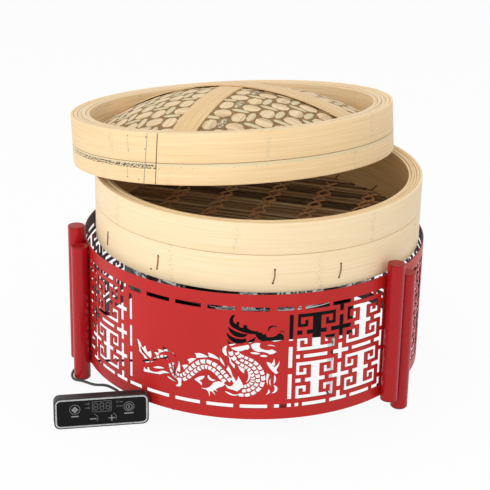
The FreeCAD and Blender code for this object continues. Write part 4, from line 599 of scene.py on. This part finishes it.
# The lid's rim: a narrow strip under a broad one over a thick core, all bent bamboo of 484 mm,
# lying ajar on the base. The upper edge of the narrow strip keeps its green skin, flecked dark.
LID_RADIUS = 0.242
LID_SEAM = 0.03
LID_HEIGHT = 0.0725
LID_ROUNDING = 0.0009
LID_TONES = ("#F9DDAE", "#ECC790", "#D6A465")
SKIN_LINE = (0.0245, 0.0275)
FLECK_HEIGHT = 0.0248
FLECK_REACH = 0.003
LID_JOINT = -24.6
LID_TILT = (math.radians(-7.03), math.radians(-3.61), 0)
LID_PLACE = (-0.033, 0.0547, 0.3177)
lid_centre = ring_axis + Vector(LID_PLACE)
lid_place = Matrix.Translation(lid_centre) @ Euler(LID_TILT).to_matrix().to_4x4()


def on_lid(tree):
    return round_strip(tree, lid_centre, LID_TILT, LID_JOINT)


def skinned_strip():
    """The narrow strip: plain bamboo up to a ragged line, then green-grey skin. Dark flecks lie along
    the line, most of them left of the joint."""
    finish, tree, shader, where, wood = bamboo(
        "lid bamboo, narrow strip", *LID_TONES, on_lid, -0.7353, 0.28)
    axes = add(tree, "SeparateXYZ", {0: where}).outputs
    rough_place = add(tree, "Mapping", {"Vector": where, "Scale": (60, 200, 200)}).outputs[0]
    ragged = add(tree, "TexNoise", {"Vector": rough_place, "Scale": 1.0, "Detail": 3.0}).outputs["Fac"]
    line = add(tree, "MapRange", {0: ragged, 3: SKIN_LINE[0], 4: SKIN_LINE[1]}).outputs[0]
    skin = add(tree, "Math", {0: axes[1], 1: line}, operation="GREATER_THAN").outputs[0]
    wood = add(tree, "Mix", {0: skin, 6: wood, 7: tone("#E2D0A6")}, data_type="RGBA").outputs[2]
    fleck_place = add(tree, "Mapping", {"Vector": where, "Scale": (330, 620, 620)}).outputs[0]
    flecks = add(tree, "TexNoise", {"Vector": fleck_place, "Scale": 1.0, "Detail": 4.0}).outputs["Fac"]
    dense = add(tree, "MapRange", {0: axes[0], 1: 0.4, 2: 0.62, 3: 0.01, 4: 0.18}).outputs[0]
    bar = add(tree, "Math", {0: 0.68, 1: dense}, operation="SUBTRACT").outputs[0]
    fleck = add(tree, "Math", {0: flecks, 1: bar}, operation="GREATER_THAN").outputs[0]
    height = add(tree, "Math", {0: axes[1], 1: FLECK_HEIGHT, 2: FLECK_REACH}, operation="COMPARE").outputs[0]
    dark = add(tree, "Math", {0: fleck, 1: height}, operation="MULTIPLY").outputs[0]
    wood = add(tree, "Mix", {0: dark, 6: wood, 7: tone("#3C3524")}, data_type="RGBA").outputs[2]
    tree.links.new(wood, shader.inputs["Base Color"])
    return finish


narrow = band(LID_RADIUS - BAND_THICKNESS, LID_RADIUS, 0, LID_SEAM, LID_ROUNDING, lid_place)
place(narrow, "lid_narrow_strip", skinned_strip(), "lid", ("lid_lower_band",))
lid_bamboo = bamboo("lid bamboo, broad strip", *LID_TONES, on_lid, -0.595, 0.1831)[0]
broad_foot = LID_SEAM + SEAM_GAP
broad = band(LID_RADIUS - BAND_THICKNESS, LID_RADIUS, broad_foot, LID_HEIGHT, LID_ROUNDING, lid_place)
place(broad, "lid_broad_strip", lid_bamboo, "lid", ("lid_upper_band",))


# The lid's core and its three inner plies: bamboo strips wound as the base's are, each ending at
# its own height, and inside them the plain ring that clamps the edge of the woven top.
LID_CORE_THICKNESS = 0.0056
LID_CORE_FOOT = 0.0005
LID_CORE_DROP = 0.0006
LID_PLY_THICKNESS = 0.0059
LID_PLY_FOOT = 0.012
LID_PLY_DROPS = (0.0009, 0.0003, 0.0014)
LID_PLY_ROUNDING = 0.0012
WEAVE_RING_THICKNESS = 0.005
WEAVE_RING_FOOT = 0.0213
WEAVE_RING_TOP = 0.0393
rim_bamboo = bamboo("lid bamboo, plies", "#F3DDB6", "#D8B27C", "#A7743F", on_lid, 0.07, 0.23)[0]
outer = LID_RADIUS - BAND_THICKNESS - PLY_GAP
core = band(outer - LID_CORE_THICKNESS, outer, LID_CORE_FOOT, LID_HEIGHT - LID_CORE_DROP, BAND_ROUNDING,
            lid_place)
place(core, "lid_thick_core", rim_bamboo, "lid", ("lid_core",))
outer -= LID_CORE_THICKNESS + PLY_GAP
for number, drop in enumerate(LID_PLY_DROPS):
    ply = band(outer - LID_PLY_THICKNESS, outer, LID_PLY_FOOT, LID_HEIGHT - drop, LID_PLY_ROUNDING, lid_place)
    hidden = ("lid_plies",) if number == 0 else ()
    place(ply, f"lid_ply_{number + 1}", rim_bamboo, "lid", hidden)
    outer -= LID_PLY_THICKNESS + PLY_GAP
weave_ring = band(outer - WEAVE_RING_THICKNESS, outer, WEAVE_RING_FOOT, WEAVE_RING_TOP, BAND_ROUNDING,
                  lid_place)
place(weave_ring, "lid_weave_ring", rim_bamboo, "lid", ("weave_ring",))


# The woven top: a twill of split bamboo, two over and two under. Broad pale strips lie between
# narrow ones that keep their grey-green skin, and the mat is sprung into a low dome.
DOME_CROWN = 0.099
DOME_EDGE_RADIUS = 0.2128
DOME_RADIUS = 0.4123
DOME_THICKNESS = 0.003
LENGTHWISE = {"start": -0.0568, "period": 0.032, "narrow": 0.011}
CROSSWISE = {"start": -0.047, "period": 0.0293, "narrow": 0.008}
LANE_REACH = 16
LANE_GAP = 0.0004
TUCK = 0.0016
PLAIT_MARGIN = 0.004
STRIP_BULGE = 0.0008
STRIP_SINK = 0.0005
STRIP_CROWN = 0.0012
STRIP_THICKNESS = 0.0005
PALE_SHADES = (0.0, 0.55)
GREEN_SHADES = (0.64, 0.9)
MOTTLED_SHADE = 1.0
MOTTLED_LANE = 0
weave_turn = Matrix.Rotation(math.radians(66.2), 3, "Z")
dome_low = Vector((0, 0, DOME_CROWN - DOME_RADIUS))


def on_dome(s, t, lift):
    """A point on the dome over a place on the flat mat, lifted off it."""
    rise = math.sqrt(DOME_RADIUS ** 2 - s * s - t * t)
    out = weave_turn @ Vector((s, t, rise)) / DOME_RADIUS
    return lid_place @ (dome_low + out * (DOME_RADIUS + lift))


def lane(number, strips):
    """From where to where a lane of the mat runs: the even lanes are narrow, the odd ones broad."""
    foot = strips["start"] + number // 2 * strips["period"]
    if number % 2 == 0:
        return foot, foot + strips["narrow"]
    return foot + strips["narrow"], foot + strips["period"]


def split(shape, across, along, lengthwise, side, shade):
    """One strip where it shows: arched over those it crosses, with its ends tucked under."""
    nearest = math.hypot(*(max(0.0, low, -high) for low, high in (across, along)))
    if nearest > DOME_EDGE_RADIUS - PLAIT_MARGIN:
        return
    uv = shape.loops.layers.uv["UVMap"]
    own = shape.faces.layers.float["tone"]
    length, width = along[1] - along[0], across[1] - across[0]
    verts = bmesh.ops.create_grid(shape, x_segments=8, y_segments=3, size=0.5)["verts"]
    faces = {face for vert in verts for face in vert.link_faces}
    slide = chance.uniform(0, 9)
    for face in faces:
        face[own] = shade
        for loop in face.loops:
            loop[uv].uv = (loop.vert.co.x * length + slide, loop.vert.co.y * width + across[0])
    for vert in verts:
        run, off = vert.co.x, vert.co.y
        bulge = STRIP_BULGE * math.cos(math.pi * run) ** 0.5 if abs(run) < 0.499 else 0.0
        lift = bulge - STRIP_SINK - STRIP_CROWN * off * off
        place_along, place_across = sum(along) / 2 + run * length, sum(across) / 2 + off * width
        s, t = (place_along, place_across) if lengthwise else (place_across, place_along)
        trim = min(1.0, DOME_EDGE_RADIUS / math.hypot(s, t))
        vert.co = on_dome(s * trim, t * trim, lift if side > 0 else -DOME_THICKNESS - lift)
    if (side > 0) != lengthwise:
        bmesh.ops.reverse_faces(shape, faces=list(faces))


def woven(side):
    """The mat as seen from above, for a side of 1, or from below, for a side of -1."""
    shape = bmesh.new()
    shape.faces.layers.float.new("tone")
    shape.loops.layers.uv.new("UVMap")
    for strips, crossed in ((LENGTHWISE, CROSSWISE), (CROSSWISE, LENGTHWISE)):
        lengthwise = strips is LENGTHWISE
        goes_over = 1 if lengthwise == (side > 0) else 3
        for number in range(-LANE_REACH, LANE_REACH + 1):
            low, high = lane(number, strips)
            for cross in range(-LANE_REACH, LANE_REACH + 1):
                if (number + cross) % 4 != goes_over:
                    continue
                shade = chance.uniform(*(PALE_SHADES if number % 2 else GREEN_SHADES))
                if lengthwise and number == MOTTLED_LANE:
                    shade = MOTTLED_SHADE
                along = (lane(cross, crossed)[0] - TUCK, lane(cross + 1, crossed)[1] + TUCK)
                split(shape, (low + LANE_GAP / 2, high - LANE_GAP / 2), along, lengthwise, side, shade)
    return shape


def by_length(tree):
    return add(tree, "UVMap", uv_map="UVMap").outputs[0]


def plaited_bamboo():
    """Split strips with a few cracks along them: pale tan ones, grey-green ones with the skin on, and
    one lane that is mottled dark. Each strip's shade says which it is."""
    finish, tree, shader, where, wood = bamboo(
        "plaited split bamboo", "#F6E2BC", "#D6B07A", "#A67C48", by_length)
    split_place = add(tree, "Mapping", {"Vector": where, "Scale": (5, 230, 1)}).outputs[0]
    splits = add(tree, "TexNoise", {"Vector": split_place, "Scale": 1.0, "Detail": 1.0}).outputs["Fac"]
    split_line = add(tree, "Math", {0: splits, 1: 0.5, 2: 0.035}, operation="COMPARE").outputs[0]
    split_share = add(tree, "Math", {0: split_line, 1: 0.5}, operation="MULTIPLY").outputs[0]
    wood = add(tree, "Mix", {0: split_share, 6: wood, 7: tone("#B08A58")}, data_type="RGBA").outputs[2]
    own = add(tree, "Attribute", attribute_name="tone").outputs["Fac"]
    green = add(tree, "MapRange", {0: own, 1: 0.6, 2: 0.66, 4: 0.75}).outputs[0]
    wood = add(tree, "Mix", {0: green, 6: wood, 7: tone("#CFC29A")}, data_type="RGBA").outputs[2]
    brown = add(tree, "MapRange", {0: own, 1: 0.93, 2: 0.95, 4: 0.8}).outputs[0]
    mottle = add(tree, "TexNoise", {"Vector": where, "Scale": 260.0, "Detail": 3.0}).outputs["Fac"]
    patchy = add(tree, "MapRange", {0: mottle, 1: 0.45, 2: 0.5}).outputs[0]
    share = add(tree, "Math", {0: brown, 1: patchy}, operation="MULTIPLY").outputs[0]
    wood = add(tree, "Mix", {0: share, 6: wood, 7: tone("#5F4A33")}, data_type="RGBA").outputs[2]
    tree.links.new(wood, shader.inputs["Base Color"])
    return finish


plait = plaited_bamboo()
for side, name in ((1, "lid_plait_top"), (-1, "lid_plait_underside")):
    piece = place(woven(side), name, plait, "lid", sharp=60)
    skin = piece.modifiers.new("strip_thickness", "SOLIDIFY")
    skin.thickness = STRIP_THICKNESS
    skin.offset = -1
# The mat beneath the strips is coloured dark tan, as painted shade in the gaps between them.
dress(speckled("painted shade in the gaps of the plait", "#6E5232", "#A2814F", 500.0, 0.85, 0.0003), "woven_dome")


# Two broad splits of bamboo sprung across the dome, one over the other, which hold the mat down.
# Their ends are pushed under the ring, and their fibres run lengthwise.
STRAP_TURNS = {"lid_strap_a": 66.2, "lid_strap_b": -27.5}
STRAP_TONES = ("#EACB98", "#CDA36A", "#A87844")


def strap_wood(node, turn):
    def along_strap(tree):
        spot = add(tree, "TexCoord").outputs["Object"]
        local = add(tree, "Mapping", {"Vector": spot, "Location": lid_centre, "Rotation": LID_TILT},
                    vector_type="TEXTURE").outputs[0]
        turned = add(tree, "Mapping", {"Vector": local, "Rotation": (0, 0, -math.radians(turn))}).outputs[0]
        return add(tree, "VectorMath", {0: turned, 1: (1, 1, 0)}, operation="MULTIPLY").outputs[0]
    return bamboo(node.replace("_", " ") + " bamboo", *STRAP_TONES, along_strap, 0.06, 0.27)[0]


for node, turn in STRAP_TURNS.items():
    dress(strap_wood(node, turn), node)


# The lapped end of the lid's strips: a dark brown line of painted shadow along its step, a grey thread
# sewn beside it, two dashed stitches further along and the holes that the thread goes through, drawn dark as
# painted shade.
GROOVE_LINES = (((-23.6, LID_HEIGHT - 0.0004), (-24.7, 0.0306), 0.0007),
                ((-24.7, 0.0306), (-25.4, 0.0006), 0.0006))
GROOVE_LIFT = -0.0001
THREAD_LINE = ((-27.4, 0.0722), (-28.8, 0.030), (-29.9, 0.0006))
THREAD_LIFT = 0.0002
THREAD_RADIUS = 0.0005
DASHED_LINES = ((-35.5, 0.047, 0.064), (-36.5, 0.010, 0.022))
DASH_COUNT = 4
DASH_SHARE = 0.55
DASH_LIFT = 0.0001
DASH_RADIUS = 0.00045
LID_HOLES = ((-28.0, 0.0662), (-28.6, 0.0493), (-29.5, 0.0104), (-31.9, 0.0055),
             (-35.5, 0.0662), (-35.5, 0.045), (-36.5, 0.024), (-36.5, 0.008))
LID_HOLE_RADIUS = 0.0009
thread_grey = speckled("grey sewing thread", "#8A8A8C", "#B9B9BA", 900.0, 0.6, 0.0001)
lap_shadow_brown = speckled("painted shadow at the lapped step", "#5E3A20", "#7E5430", 500.0, 0.6, 0.0002)
# A dark brown line of painted shadow along the step of the lapped end.
groove = bmesh.new()
for start, end, radius in GROOVE_LINES:
    stick(groove, on_band(*start, GROOVE_LIFT), on_band(*end, GROOVE_LIFT), radius)
bmesh.ops.transform(groove, matrix=lid_place, verts=groove.verts[:])
place(groove, "lid_lap_shadow_line", lap_shadow_brown, "lid")
thread = bmesh.new()
for (a, low), (b, high) in zip(THREAD_LINE, THREAD_LINE[1:]):
    stick(thread, on_band(a, low, THREAD_LIFT), on_band(b, high, THREAD_LIFT), THREAD_RADIUS)
for azimuth, foot, head in DASHED_LINES:
    for number in range(DASH_COUNT):
        step = (head - foot) / DASH_COUNT
        low = foot + number * step
        high = low + DASH_SHARE * step
        stick(thread, on_band(azimuth, low, DASH_LIFT), on_band(azimuth, high, DASH_LIFT), DASH_RADIUS)
bmesh.ops.transform(thread, matrix=lid_place, verts=thread.verts[:])
place(thread, "lid_sewn_thread", thread_grey, "lid")
punched("lid_stitch_hole_shade", LID_HOLES, LID_HOLE_RADIUS, lid_place, "lid")


# The wired controller: two moulded half-shells in fine-grained black plastic, standing on their
# long edge, with a satin face sheet, four keys and a smoked display window let into it.
BOX_LENGTH = 0.134
BOX_HEIGHT = 0.0475
BOX_CORNER = (-0.2762, -0.2506, 0)
box_turn = Matrix.Rotation(math.radians(10.9), 4, "Z")
box_place = Matrix.Translation(ring_axis + Vector(BOX_CORNER)) @ box_turn
grained = speckled("fine-grained black plastic", "#101011", "#1E1E1F", 700.0, 0.42, 0.0003)
dress(grained, "box_front_shell", "box_back_shell")
dress(speckled("satin face sheet", "#0D0D0D", "#111111", 400.0, 0.35, 0.00005, specular=0.12), "box_face_panel")
dress(speckled("smoked window", "#101011", "#151516", 200.0, 0.2, 0.00002, specular=0.12), "display")
dress(speckled("black key plastic", "#0B0B0C", "#101011", 500.0, 0.35, 0.0001, specular=0.12),
      "menu_key", "minus_key", "plus_key", "power_key")


# The controller's trim and print: a bright rim round the face sheet, the window's frame, three unlit
# digits, grey rings round the menu and power keys, and grey arcs by the minus and plus keys that are
# painted highlight on their rims. Places on the face are metres from its lower left corner, and what is
# printed stands 0.1 mm thick, because thinner ink would flicker.
RIM_INSET = 0.0018
RIM_CORNER = 0.0078
RIM_WIDTH = 0.0021
WINDOW_FRAME = (0.0536, 0.0811, 0.0237, 0.0408)
WINDOW_CORNER = 0.0022
WINDOW_LINE = 0.0008
SIGN_HEIGHT = 0.0013
RIGHT_SIGNS = ((0.0893, 0.0375), (0.0893, 0.0308))
LEFT_SIGNS = ((0.0449, 0.0373), (0.0449, 0.0308))
DIGIT_PLACES = (0.0589, 0.0675, 0.0761)
DIGIT_LEVEL = 0.0322
DIGIT_HEIGHT = 0.0105
DIGIT_WIDTH = 0.0052
SEGMENT = 0.0011
SEGMENT_CUT = 1.2 * SEGMENT
MENU_KEY = (0.0294, 0.0297)
MINUS_KEY = (0.0550, 0.0136)
PLUS_KEY = (0.0811, 0.0134)
POWER_KEY = (0.1058, 0.0293)
LABELS = ((0.0294, 0.0104), (0.1056, 0.0132))
LABEL_LEVEL = 0.0187
LABEL_HEIGHT = 0.0018
KEY_HOOP = 0.0075
KEY_GLINT_RADIUS = 0.0070
PRINT_FRONT = -0.0001
PRINT_THICKNESS = 0.0001


def rounded_frame(shape, low_x, high_x, low_z, high_z, radius, width, front, back):
    """A flat frame with rounded corners, as wide as its line and from front to back in depth."""
    mid = Matrix.Translation(((low_x + high_x) / 2, back, (low_z + high_z) / 2))
    upright = Matrix.Rotation(math.radians(90), 4, "X")
    size = Matrix.Diagonal((high_x - low_x, high_z - low_z, 1, 1))
    before = set(shape.faces)
    at = mid @ upright @ size
    corners = bmesh.ops.create_grid(shape, x_segments=1, y_segments=1, size=0.5, matrix=at)["verts"]
    bmesh.ops.bevel(
        shape, geom=corners, offset=radius, segments=6, profile=0.5, affect="VERTICES", material=-1)
    sheet = [face for face in shape.faces if face not in before]
    line = bmesh.ops.inset_region(
        shape, faces=sheet, thickness=width, use_boundary=True, use_even_offset=True)["faces"]
    bmesh.ops.delete(shape, geom=sheet, context="FACES_ONLY")
    grown = bmesh.ops.extrude_face_region(shape, geom=line)["geom"]
    moved = [item for item in grown if isinstance(item, bmesh.types.BMVert)]
    bmesh.ops.translate(shape, verts=moved, vec=(0, front - back, 0))


def bar(shape, x, z, width, height, front=-0.00006, back=0.00004, turn=0.0):
    """A printed bar about its middle, from front to back in depth, turned in its plane."""
    at = Matrix.Translation((x, (front + back) / 2, z)) @ Matrix.Rotation(math.radians(turn), 4, "Y")
    size = Matrix.Diagonal((width, back - front, height, 1))
    bmesh.ops.create_cube(shape, size=1.0, matrix=at @ size)


def hoop(shape, x, z, radius, width, front, start=0.0, sweep=360.0):
    """A printed ring or arc: a narrow edge spun about the key's middle, then given its thickness."""
    low = shape.verts.new((x + radius - width, front, z))
    high = shape.verts.new((x + radius, front, z))
    edge = shape.edges.new((low, high))
    middle = (x, front, z)
    turn = Matrix.Rotation(math.radians(start), 4, "Y")
    bmesh.ops.rotate(shape, verts=[low, high], cent=middle, matrix=turn)
    closed = sweep > 359
    before = set(shape.faces)
    bmesh.ops.spin(shape, geom=[low, high, edge], cent=middle, axis=(0, 1, 0), angle=math.radians(sweep),
                   steps=36 if closed else 12, use_merge=closed)
    fresh = [face for face in shape.faces if face not in before]
    grown = bmesh.ops.extrude_face_region(shape, geom=fresh)["geom"]
    moved = [item for item in grown if isinstance(item, bmesh.types.BMVert)]
    bmesh.ops.translate(shape, verts=moved, vec=(0, PRINT_THICKNESS, 0))


def on_box(shape, name, finish, body):
    """Closes a shape that was drawn on the upright face and puts it on the controller."""
    bmesh.ops.remove_doubles(shape, verts=shape.verts[:], dist=1e-6)
    bmesh.ops.recalc_face_normals(shape, faces=shape.faces[:])
    bmesh.ops.transform(shape, matrix=box_place, verts=shape.verts[:])
    return place(shape, name, finish, body, sharp=30)


rim = bmesh.new()
rounded_frame(rim, RIM_INSET, BOX_LENGTH - RIM_INSET, RIM_INSET, BOX_HEIGHT - RIM_INSET, RIM_CORNER, RIM_WIDTH,
              -0.0006, 0.0004)
rim_grey = speckled("brushed grey rim", "#A2A2A2", "#C4C4C4", 300.0, 0.4, 0.0001)
on_box(rim, "box_bright_rim", rim_grey, "cooker")
ink = speckled("grey printing ink", "#808080", "#949494", 900.0, 0.6, 0.00005)
dim_ink = speckled("unlit digits and faint print", "#4A4A4A", "#606060", 900.0, 0.6, 0.00005)
window_frame = bmesh.new()
rounded_frame(window_frame, *WINDOW_FRAME, WINDOW_CORNER, WINDOW_LINE, -0.0003, 0.0002)
for x, z in RIGHT_SIGNS:
    hoop(window_frame, x, z, 0.0016, 0.0006, PRINT_FRONT)
    bar(window_frame, x + 0.0052, z, 0.0048, SIGN_HEIGHT)
for x, z in LEFT_SIGNS:
    bar(window_frame, x, z, 0.0018, SIGN_HEIGHT)
    hoop(window_frame, x + 0.0038, z, 0.0017, 0.0009, PRINT_FRONT)
on_box(window_frame, "box_window_frame", dim_ink, "cooker")
digits = bmesh.new()
for x in DIGIT_PLACES:
    for level in (-1, 0, 1):
        bar(digits, x, DIGIT_LEVEL + level * DIGIT_HEIGHT / 2, DIGIT_WIDTH - SEGMENT_CUT, SEGMENT)
    for side in (-1, 1):
        for level in (-1, 1):
            bar(digits, x + side * DIGIT_WIDTH / 2, DIGIT_LEVEL + level * DIGIT_HEIGHT / 4, SEGMENT,
                DIGIT_HEIGHT / 2 - SEGMENT_CUT)
on_box(digits, "display_digits", dim_ink, "cooker")
marks = bmesh.new()
for x, width in LABELS:
    bar(marks, x, LABEL_LEVEL, width, LABEL_HEIGHT)
for key in (MENU_KEY, POWER_KEY):
    hoop(marks, *key, KEY_HOOP, 0.0006, PRINT_FRONT)
# The arcs beside the minus and plus keys are painted highlight, standing for the glint on each key's rim.
hoop(marks, *MINUS_KEY, KEY_GLINT_RADIUS, 0.0005, PRINT_FRONT, -75, 115)
hoop(marks, *PLUS_KEY, KEY_GLINT_RADIUS, 0.0005, PRINT_FRONT, -70, 100)
on_box(marks, "box_key_rings_and_painted_glints", ink, "cooker")


# The keys' own symbols, printed on their tops, which stand 0.8 mm proud of the face: a clover of
# four squares, a minus, a plus, and a ring with a stroke in it.
KEY_TOP = -0.00088
KEY_INK_BACK = KEY_TOP + PRINT_THICKNESS
CLOVER_REACH = 0.0027
CLOVER_LEAF = 0.0034
menu = bmesh.new()
for side_x, side_z in ((1, 0), (-1, 0), (0, 1), (0, -1)):
    leaf_x, leaf_z = MENU_KEY[0] + side_x * CLOVER_REACH, MENU_KEY[1] + side_z * CLOVER_REACH
    bar(menu, leaf_x, leaf_z, CLOVER_LEAF, CLOVER_LEAF, KEY_TOP, KEY_INK_BACK, 45)
on_box(menu, "menu_symbol", ink, "menu_key")
minus = bmesh.new()
bar(minus, *MINUS_KEY, 0.0092, 0.0016, KEY_TOP, KEY_INK_BACK)
on_box(minus, "minus_symbol", ink, "minus_key")
plus = bmesh.new()
bar(plus, *PLUS_KEY, 0.0094, 0.0014, KEY_TOP, KEY_INK_BACK)
bar(plus, *PLUS_KEY, 0.0014, 0.0094, KEY_TOP - 0.00002, KEY_INK_BACK)
on_box(plus, "plus_symbol", ink, "plus_key")
power = bmesh.new()
hoop(power, *POWER_KEY, 0.0047, 0.0009, KEY_TOP)
bar(power, POWER_KEY[0], 0.0294, 0.0012, 0.0040, KEY_TOP, KEY_INK_BACK)
on_box(power, "power_symbol", ink, "power_key")


# The controller's lead: 4 mm round black cable that leaves the hob's underside, drops to the
# table, loops out round the left posts and goes into the back of the controller.
LEAD_DIAMETER = 0.004
LEAD_ROUTE = (
    (-0.096, -0.020, 0.090), (-0.096, -0.020, 0.070), (-0.098, -0.0205, 0.044), (-0.108, -0.022, 0.020),
    (-0.130, -0.024, 0.0045), (-0.160, -0.027, 0.0021), (-0.200, -0.029, 0.0021), (-0.236, -0.031, 0.0021),
    (-0.257, -0.039, 0.0021), (-0.268, -0.058, 0.0021), (-0.2715, -0.080, 0.0021), (-0.266, -0.100, 0.0035),
    (-0.250, -0.120, 0.012), (-0.230, -0.150, 0.0205), (-0.211, -0.172, 0.0325), (-0.199, -0.184, 0.0335),
    (-0.18895, -0.19601, 0.034), (-0.18649, -0.20878, 0.034))
lead_line = bpy.data.curves.new("control_lead_line", "CURVE")
lead_line.dimensions = "3D"
lead_line.bevel_depth = LEAD_DIAMETER / 2
lead_line.bevel_resolution = 4
lead_line.resolution_u = 10
lead_line.use_fill_caps = True
lace(lead_line, [Vector(point) + ring_axis for point in LEAD_ROUTE])
lead_line.materials.append(speckled("matte black cable sheath", "#0E0E0F", "#1B1B1C", 500.0, 0.5, 0.0001))
lead = bpy.data.objects.new("controller_cable", lead_line)
bpy.context.scene.collection.objects.link(lead)
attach(lead, "cooker")
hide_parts("control_lead")


# The room: a white floor and surround that show as plain white, a broad soft lamp in front on the
# left, weaker ones at both sides and one overhead, and a long lens looking down 22 degrees.
FLOOR_GLOW = 0.93
FLOOR_REACH = 6
WORLD_LIGHT = 0.65
LAMPS = (("front lamp", (-0.7, -2.5, 0.9), 1.0, 19), ("left lamp", (-1.9, -0.6, 1.0), 1.0, 6.5),
         ("right lamp", (1.9, -0.6, 1.0), 1.0, 2), ("top lamp", (0, 0.2, 2.4), 1.4, 13))
LAMP_TARGET = (0, 0, 0.2)
CAMERA_PLACE = (-0.0130, -2.1314, 1.0314)
CAMERA_RIGHT = (0.99979, 0.00754, 0.01903)
CAMERA_UP = (-0.02047, 0.36837, 0.92946)


def seen_straight(tree):
    """1 for rays from the camera, off gloss or through glass, which see plain white, otherwise 0."""
    rays = add(tree, "LightPath").outputs
    seen = add(tree, "Math", {0: rays["Is Camera Ray"], 1: rays["Is Glossy Ray"]}, operation="ADD").outputs[0]
    return add(tree, "Math", {0: seen, 1: rays["Is Transmission Ray"]}, operation="ADD",
               use_clamp=True).outputs[0]


floor_finish, tree, shader = new_finish("white studio floor", Roughness=0.9, Base_Color=tone("#F0F0F0"))
share = add(tree, "Math", {0: seen_straight(tree), 1: FLOOR_GLOW}, operation="MULTIPLY").outputs[0]
glow = add(tree, "Emission", {"Color": (1, 1, 1, 1), "Strength": 1.0}).outputs[0]
mixed = add(tree, "MixShader", {0: share, 1: shader.outputs[0], 2: glow}).outputs[0]
tree.links.new(mixed, tree.nodes["Material Output"].inputs["Surface"])
ground = bmesh.new()
bmesh.ops.create_grid(ground, x_segments=1, y_segments=1, size=FLOOR_REACH)
floor_mesh = bpy.data.meshes.new("studio_floor")
ground.to_mesh(floor_mesh)
ground.free()
floor_mesh.materials.append(floor_finish)
floor = bpy.data.objects.new("studio_floor", floor_mesh)
bpy.context.scene.collection.objects.link(floor)

world = bpy.data.worlds.new("studio")
bpy.context.scene.world = world
world.use_nodes = True
tree = world.node_tree
strength = add(tree, "MapRange", {0: seen_straight(tree), 3: WORLD_LIGHT, 4: 1.0}).outputs[0]
tree.links.new(strength, tree.nodes["Background"].inputs["Strength"])
tree.nodes["Background"].inputs["Color"].default_value = (1, 1, 1, 1)

for name, spot, width, power_watts in LAMPS:
    lamp = bpy.data.lights.new(name, "AREA")
    lamp.size = width
    lamp.energy = power_watts
    stand = bpy.data.objects.new(name, lamp)
    stand.location = spot
    stand.rotation_euler = (Vector(LAMP_TARGET) - Vector(spot)).to_track_quat("-Z", "Y").to_euler()
    bpy.context.scene.collection.objects.link(stand)

lens = bpy.data.cameras.new("camera")
lens.lens = 111.0
lens.sensor_width = 36.0
camera = bpy.data.objects.new("camera", lens)
right = Vector(CAMERA_RIGHT).normalized()
up = Vector(CAMERA_UP).normalized()
aim = Matrix((right, up, right.cross(up))).transposed().to_4x4()
camera.matrix_world = Matrix.Translation(ring_axis + Vector(CAMERA_PLACE)) @ aim
bpy.context.scene.collection.objects.link(camera)
bpy.context.scene.camera = camera
bpy.context.scene.view_settings.view_transform = "Standard"

bpy.context.view_layer.update()
